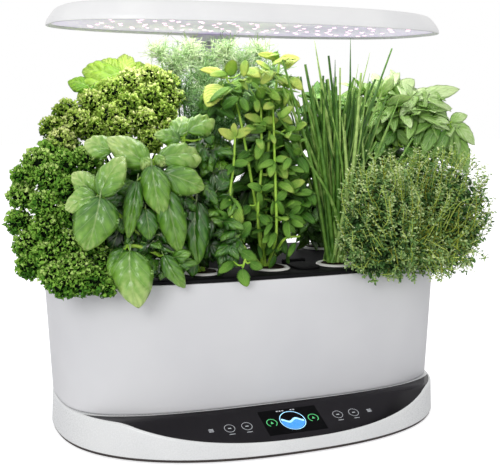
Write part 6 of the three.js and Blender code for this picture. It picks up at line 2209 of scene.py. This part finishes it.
MINT_STEMS = (
    [(-9, -62, 171), (-24, -84, 226), (-16, -74, 275), (-11, -60, 318), (-3, -42, 360)],
    [(-3, -62, 171), (-9, -95, 207), (-9, -92, 256), (-7, -85, 280), (0, -66, 319), (5, -50, 346)],
    [(-9, -62, 171), (-48, -96, 204), (-56, -90, 238), (-50, -84, 276), (-45, -75, 302)],
    [(-5, -62, 171), (-28, -72, 270), (-34, -56, 328), (-41, -42, 360)],
    [(0, -62, 171), (1, -90, 201), (20, -88, 204)],
    [(-7, -62, 171), (-3, -60, 289), (10, -48, 348), (18, -40, 380)],
    [(-9, -62, 171), (-40, -98, 188), (-49, -106, 179)],
)
THAI_LEAVES = (
    ((164, 0, 348), (151, 4, 368), 14, 0.9), ((164, 0, 348), (177, -4, 372), 16, 1.0),
    ((181, -6, 348), (174, 0, 374), 13, 0.9), ((181, -6, 348), (195, -12, 364), 17, 0.95),
    ((192, -18, 342), (181, -14, 359), 14, 0.8), ((192, -18, 342), (236, -42, 351), 18, 0.9),
    ((192, -18, 339), (207, -26, 355), 15, 1.0), ((202, -24, 331), (228, -40, 335), 15, 0.85),
    ((201, -26, 320), (223, -44, 313), 17, 0.75), ((201, -26, 320), (183, -22, 311), 15, 0.6),
    ((217, -34, 315), (188, -40, 285), 18, 0.45), ((226, -40, 316), (256, -54, 295), 18, 0.8),
    ((226, -40, 316), (244, -44, 327), 13, 0.85), ((227, -42, 311), (230, -44, 274), 16, 0.7),
    ((231, -44, 307), (250, -44, 256), 18, 0.6), ((222, -42, 309), (206, -44, 277), 15, 0.5),
    ((164, -2, 326), (141, -6, 315), 14, 0.5), ((164, -2, 326), (180, -10, 315), 14, 0.6),
    ((176, -8, 306), (158, -14, 289), 14, 0.4), ((176, -8, 306), (191, -18, 291), 14, 0.5),
    ((154, 8, 343), (144, 10, 357), 11, 0.7), ((205, -34, 296), (221, -42, 285), 14, 0.5),
    ((182, -16, 288), (197, -26, 273), 14, 0.45), ((162, -6, 295), (147, -12, 278), 14, 0.4),
)
THAI_STEMS = (
    [(108, 48, 171), (140, 24, 236), (160, 0, 306), (164, 0, 348)],
    [(111, 50, 171), (150, 20, 248), (176, -6, 317), (184, -6, 348)],
    [(113, 50, 171), (160, 14, 249), (190, -16, 317), (192, -18, 342)],
    [(114, 50, 171), (170, 4, 249), (210, -32, 300), (227, -42, 316)],
)
CHIVE_TIPS = (
    (5, -75, 351), (8, -68, 378), (26, -66, 362), (47, -60, 398), (88, -60, 402), (114, -55, 388),
    (142, -52, 393), (58, -70, 383), (66, -80, 371), (93, -60, 362), (128, -60, 351), (150, -60, 345),
    (40, -66, 340), (100, -56, 376), (76, -50, 380), (18, -70, 338), (28, -74, 350), (34, -66, 374),
    (22, -60, 326), (48, -78, 360),
)
# Tones fall from high clouds to low ones: painted shade under the leaves above
DILL_CLOUDS = (
    (-62, 56, 372, 22, 0.7), (-40, 66, 386, 19, 0.85), (-3, 58, 386, 20, 0.8), (15, 50, 374, 20, 0.7),
    (-34, 42, 350, 24, 0.5), (-78, 58, 386, 14, 0.75), (32, 50, 388, 16, 0.75), (-8, 36, 338, 26, 0.4),
    (22, 36, 345, 24, 0.4), (-58, 40, 340, 20, 0.35), (45, 44, 362, 20, 0.55), (-24, 60, 368, 22, 0.65),
    (-40, 28, 322, 22, 0.25), (8, 24, 318, 24, 0.25), (40, 26, 330, 20, 0.3), (44, 40, 290, 22, 0.15),
    (30, 44, 262, 22, 0.1), (-24, 18, 310, 22, 0.15), (-50, 26, 306, 20, 0.1),
)
# Clouds whose tones stay low are dark leaves that paint the shade in the gaps
MINT_CLOUDS = (
    Cloud((-2, -80, 222), (34, 28, 52), 64, (14, 24), (0.1, 0.75)),
    Cloud((0, -68, 292), (34, 30, 54), 64, (14, 24), (0.15, 0.85)),
    Cloud((25, -26, 232), (12, 17, 60), 60, (22, 32), (0.0, 0.25)),
    Cloud((-22, -52, 346), (42, 26, 28), 44, (14, 26), (0.3, 0.85)),
    Cloud((-52, -44, 336), (18, 30, 15), 18, (20, 30), (0.1, 0.5)),
    Cloud((12, -50, 352), (22, 22, 34), 32, (14, 24), (0.4, 0.95)),
    Cloud((0, -40, 250), (36, 20, 84), 150, (24, 36), (0.0, 0.25)),
    Cloud((24, -60, 240), (14, 34, 60), 60, (18, 30), (0.05, 0.4)),
)
BASIL_CLOUDS = (
    Cloud((-142, -96, 236), (46, 14, 52), 60, (28, 40), (0.05, 0.35)),
    Cloud((-78, -66, 240), (32, 32, 66), 90, (24, 36), (0.0, 0.4)),
    Cloud((-58, -84, 210), (16, 30, 40), 40, (20, 30), (0.1, 0.5)),
    Cloud((-120, -92, 190), (34, 16, 22), 24, (24, 36), (0.1, 0.45)),
    Cloud((-150, -97, 208), (16, 10, 12), 16, (22, 30), (0.05, 0.4)),
)
BASIL_BACK_CLOUDS = (
    Cloud((-130, 66, 346), (36, 14, 20), 12, (26, 36), (0.2, 0.6)),
    Cloud((-36, 46, 240), (34, 34, 62), 150, (26, 38), (0.0, 0.12)),
    Cloud((-24, 30, 276), (22, 30, 22), 50, (22, 32), (0.0, 0.3)),
)
THAI_CLOUDS = (
    Cloud((178, -4, 330), (34, 26, 34), 50, (26, 42), (0.3, 0.95)),
    Cloud((208, -26, 318), (34, 18, 30), 36, (28, 46), (0.3, 0.9)),
    Cloud((150, 20, 300), (38, 30, 62), 90, (26, 40), (0.1, 0.7)),
    Cloud((104, 34, 312), (24, 32, 40), 90, (22, 34), (0.0, 0.35)),
    Cloud((96, 40, 204), (22, 28, 30), 70, (20, 30), (0.0, 0.3)),
    Cloud((112, 40, 240), (34, 30, 66), 110, (24, 36), (0.0, 0.3)),
    Cloud((190, 14, 278), (52, 18, 36), 80, (26, 40), (0.1, 0.6)),
    Cloud((226, -22, 284), (26, 12, 22), 16, (26, 38), (0.2, 0.7)),
)


def garden() -> list[Herb]:
    """The nine herbs, each over its pod.

    Returns:
        The herbs, ready to build.
    """
    return [
        Bush(
            "parsley_front", "parsley_leaf", PARSLEY_LEAF, FRILL, 31, 0.2, 6, SHADED_HEART,
            foot=(-148, -62, 171.5), tufts=PARSLEY_FRONT_TUFTS,
        ),
        Bush(
            "parsley_back", "parsley_leaf", PARSLEY_CROWN, FRILL, 32, 0.22, 6, SHADED_HEART,
            foot=(-111, 50, 171.5), tufts=PARSLEY_BACK_TUFTS,
        ),
        Leafy(
            "basil_front", "basil_leaf", BASIL_LEAF, BASIL_BLADE, 33, 0.05, 6,
            leaves=BASIL_FRONT_LEAVES, lines=BASIL_FRONT_STEMS, stem=(2.2, 1.6),
            clouds=BASIL_CLOUDS,
        ),
        Leafy(
            "basil_back", "basil_leaf", YOUNG_BASIL, BASIL_BLADE, 34, 0.06, 6,
            leaves=BASIL_BACK_LEAVES, lines=BASIL_BACK_STEMS, stem=(2.2, 1.4),
            clouds=BASIL_BACK_CLOUDS,
        ),
        Leafy(
            "mint", "mint_leaf", MINT_LEAF, MINT_BLADE, 35, 0.06, 5,
            leaves=MINT_LEAVES, lines=MINT_STEMS, stem=(1.5, 1.1), clouds=MINT_CLOUDS,
        ),
        Chives("chives", "chive_blade", CHIVE_SKIN, THYME_BLADE, 36, tips=CHIVE_TIPS),
        Thyme("thyme", "thyme_leaf", THYME_LEAF, THYME_BLADE, 37, 0.2, 4, THYME_WOOD),
        Dill("dill", "dill_leaf", DILL_THREAD, THYME_BLADE, 38, clouds=DILL_CLOUDS),
        Leafy(
            "thai_basil", "thai_basil_leaf", THAI_LEAF, THAI_BLADE, 39, 0.08, 5,
            leaves=THAI_LEAVES, lines=THAI_STEMS, stem=(1.5, 1.0), clouds=THAI_CLOUDS,
        ),
    ]


# Middle of the object, and the floor's reach, in metres
MIDDLE, FAR = (0.0, 0.0, 0.2), 6


@dataclass
class Studio:
    """Floor, light and camera.

    Attributes:
        eye: The camera's place in millimetres.
        heading: Its heading in degrees, from +y towards +x.
        pitch: How far it looks down, in degrees.
        roll: Its roll in degrees.
        lens: Its lens for a sensor 36 mm wide.
        sky: Strength of the even light.
        key: Power in watts of the lamp beside the viewer.
        top: Power in watts of the lamp over the object.
        grow: Power in watts of the light under the hood.
    """

    eye: tuple[float, float, float] = (-408.99, -974.36, 340.19)
    heading: float = 22.94
    pitch: float = 7.93
    roll: float = 0.45
    lens: float = 71.57
    sky: float = 0.82
    key: float = 25.0
    top: float = 0.6
    grow: float = 0.55

    def floor(self) -> None:
        """A pale floor that takes a soft shadow and is white to the camera elsewhere."""
        mesh = bpy.data.meshes.new("floor")
        corners = [(-FAR, -FAR, 0), (FAR, -FAR, 0), (FAR, FAR, 0), (-FAR, FAR, 0)]
        mesh.from_pydata(corners, [], [(0, 1, 2, 3)])
        made = linked("floor", mesh)
        material, tree = bare_material("white_studio_floor")
        seen = node(tree, "ShaderNodeLightPath").outputs["Is Camera Ray"]
        matt = node(tree, "ShaderNodeBsdfDiffuse", {"Color": linear("#E6E6E8")}).outputs[0]
        lift = arithmetic(tree, "MULTIPLY", seen, 0.62)
        glow = node(tree, "ShaderNodeEmission", {"Color": (1, 1, 1, 1), "Strength": lift}).outputs[0]
        both = node(tree, "ShaderNodeAddShader", {0: matt, 1: glow}).outputs[0]
        node(tree, "ShaderNodeOutputMaterial", {"Surface": both})
        mesh.materials.append(material)

    def sky_light(self) -> None:
        """Even light all round, white where the camera or a reflection looks at it."""
        world = bpy.data.worlds.new("studio")
        bpy.context.scene.world = world
        world.use_nodes = True
        tree = world.node_tree
        tree.nodes.clear()
        path = node(tree, "ShaderNodeLightPath").outputs
        looked = arithmetic(tree, "MAXIMUM", path["Is Camera Ray"], path["Is Glossy Ray"])
        looked = arithmetic(tree, "MAXIMUM", looked, path["Is Transmission Ray"])
        strength = spanned(tree, looked, (0, 1), (self.sky, 1.0))
        light = node(tree, "ShaderNodeBackground", {"Color": (1, 1, 1, 1), "Strength": strength}).outputs[0]
        node(tree, "ShaderNodeOutputWorld", {"Surface": light})

    def grow_light(self) -> None:
        """The light that the object's own lamp throws on its plants, unseen by the camera."""
        data = bpy.data.lights.new("grow_light", "AREA")
        data.shape = "RECTANGLE"
        data.size, data.size_y = 0.34, 0.15
        data.energy = self.grow
        made = linked("grow_light", data)
        made.location = (0, 0, 0.404)
        made.visible_camera = False
        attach(made, "hood")

    def lamp(self, name: str, place: Point, size: float, power: float) -> None:
        """A soft square lamp that looks at the object's middle.

        Args:
            name: Its name.
            place: Where it hangs, in metres.
            size: Its side in metres.
            power: Its power in watts.
        """
        data = bpy.data.lights.new(name, "AREA")
        data.energy = power
        data.size = size
        made = linked(name, data)
        made.location = place
        made.rotation_euler = (Vector(MIDDLE) - Vector(place)).to_track_quat("-Z", "Y").to_euler()

    def camera(self) -> None:
        """The camera at the photo's place and angle."""
        data = bpy.data.cameras.new("photo_camera")
        data.sensor_width = 36.0
        data.lens = self.lens
        data.clip_end = 20.0
        made = linked("photo_camera", data)
        turn, tilt, roll = map(math.radians, (self.heading, self.pitch, self.roll))
        ahead = Vector((math.sin(turn) * math.cos(tilt), math.cos(turn) * math.cos(tilt), -math.sin(tilt)))
        right = Vector((math.cos(turn), -math.sin(turn), 0))
        up = right.cross(ahead)
        side = right * math.cos(roll) + up * math.sin(roll)
        top = up * math.cos(roll) - right * math.sin(roll)
        turned = Matrix((side, top, -ahead)).transposed().to_4x4()
        made.matrix_world = Matrix.Translation(Vector(self.eye) * MM) @ turned
        bpy.context.scene.camera = made

    def build(self) -> None:
        """Sets up the studio."""
        self.floor()
        self.sky_light()
        self.lamp("key", (-1.6, -2.0, 1.2), 1.0, self.key)
        self.lamp("top", (-0.3, -0.4, 1.9), 1.2, self.top)
        self.grow_light()
        self.camera()
        bpy.context.scene.view_settings.view_transform = "Standard"


def write_size() -> None:
    """Brings the view layer up to date."""
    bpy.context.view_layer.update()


def main() -> None:
    """Builds the whole scene."""
    logging.basicConfig(level=logging.INFO, format="%(message)s")
    write_size()
    base = Base()
    for part in (base, Marks(base), Bowl(), Mast(), Lamp(), WaterWorks(), *garden(), Studio()):
        part.build()
        log.info("built %s", getattr(part, "name", type(part).__name__))
    write_size()


if __name__ == "__main__":
    main()
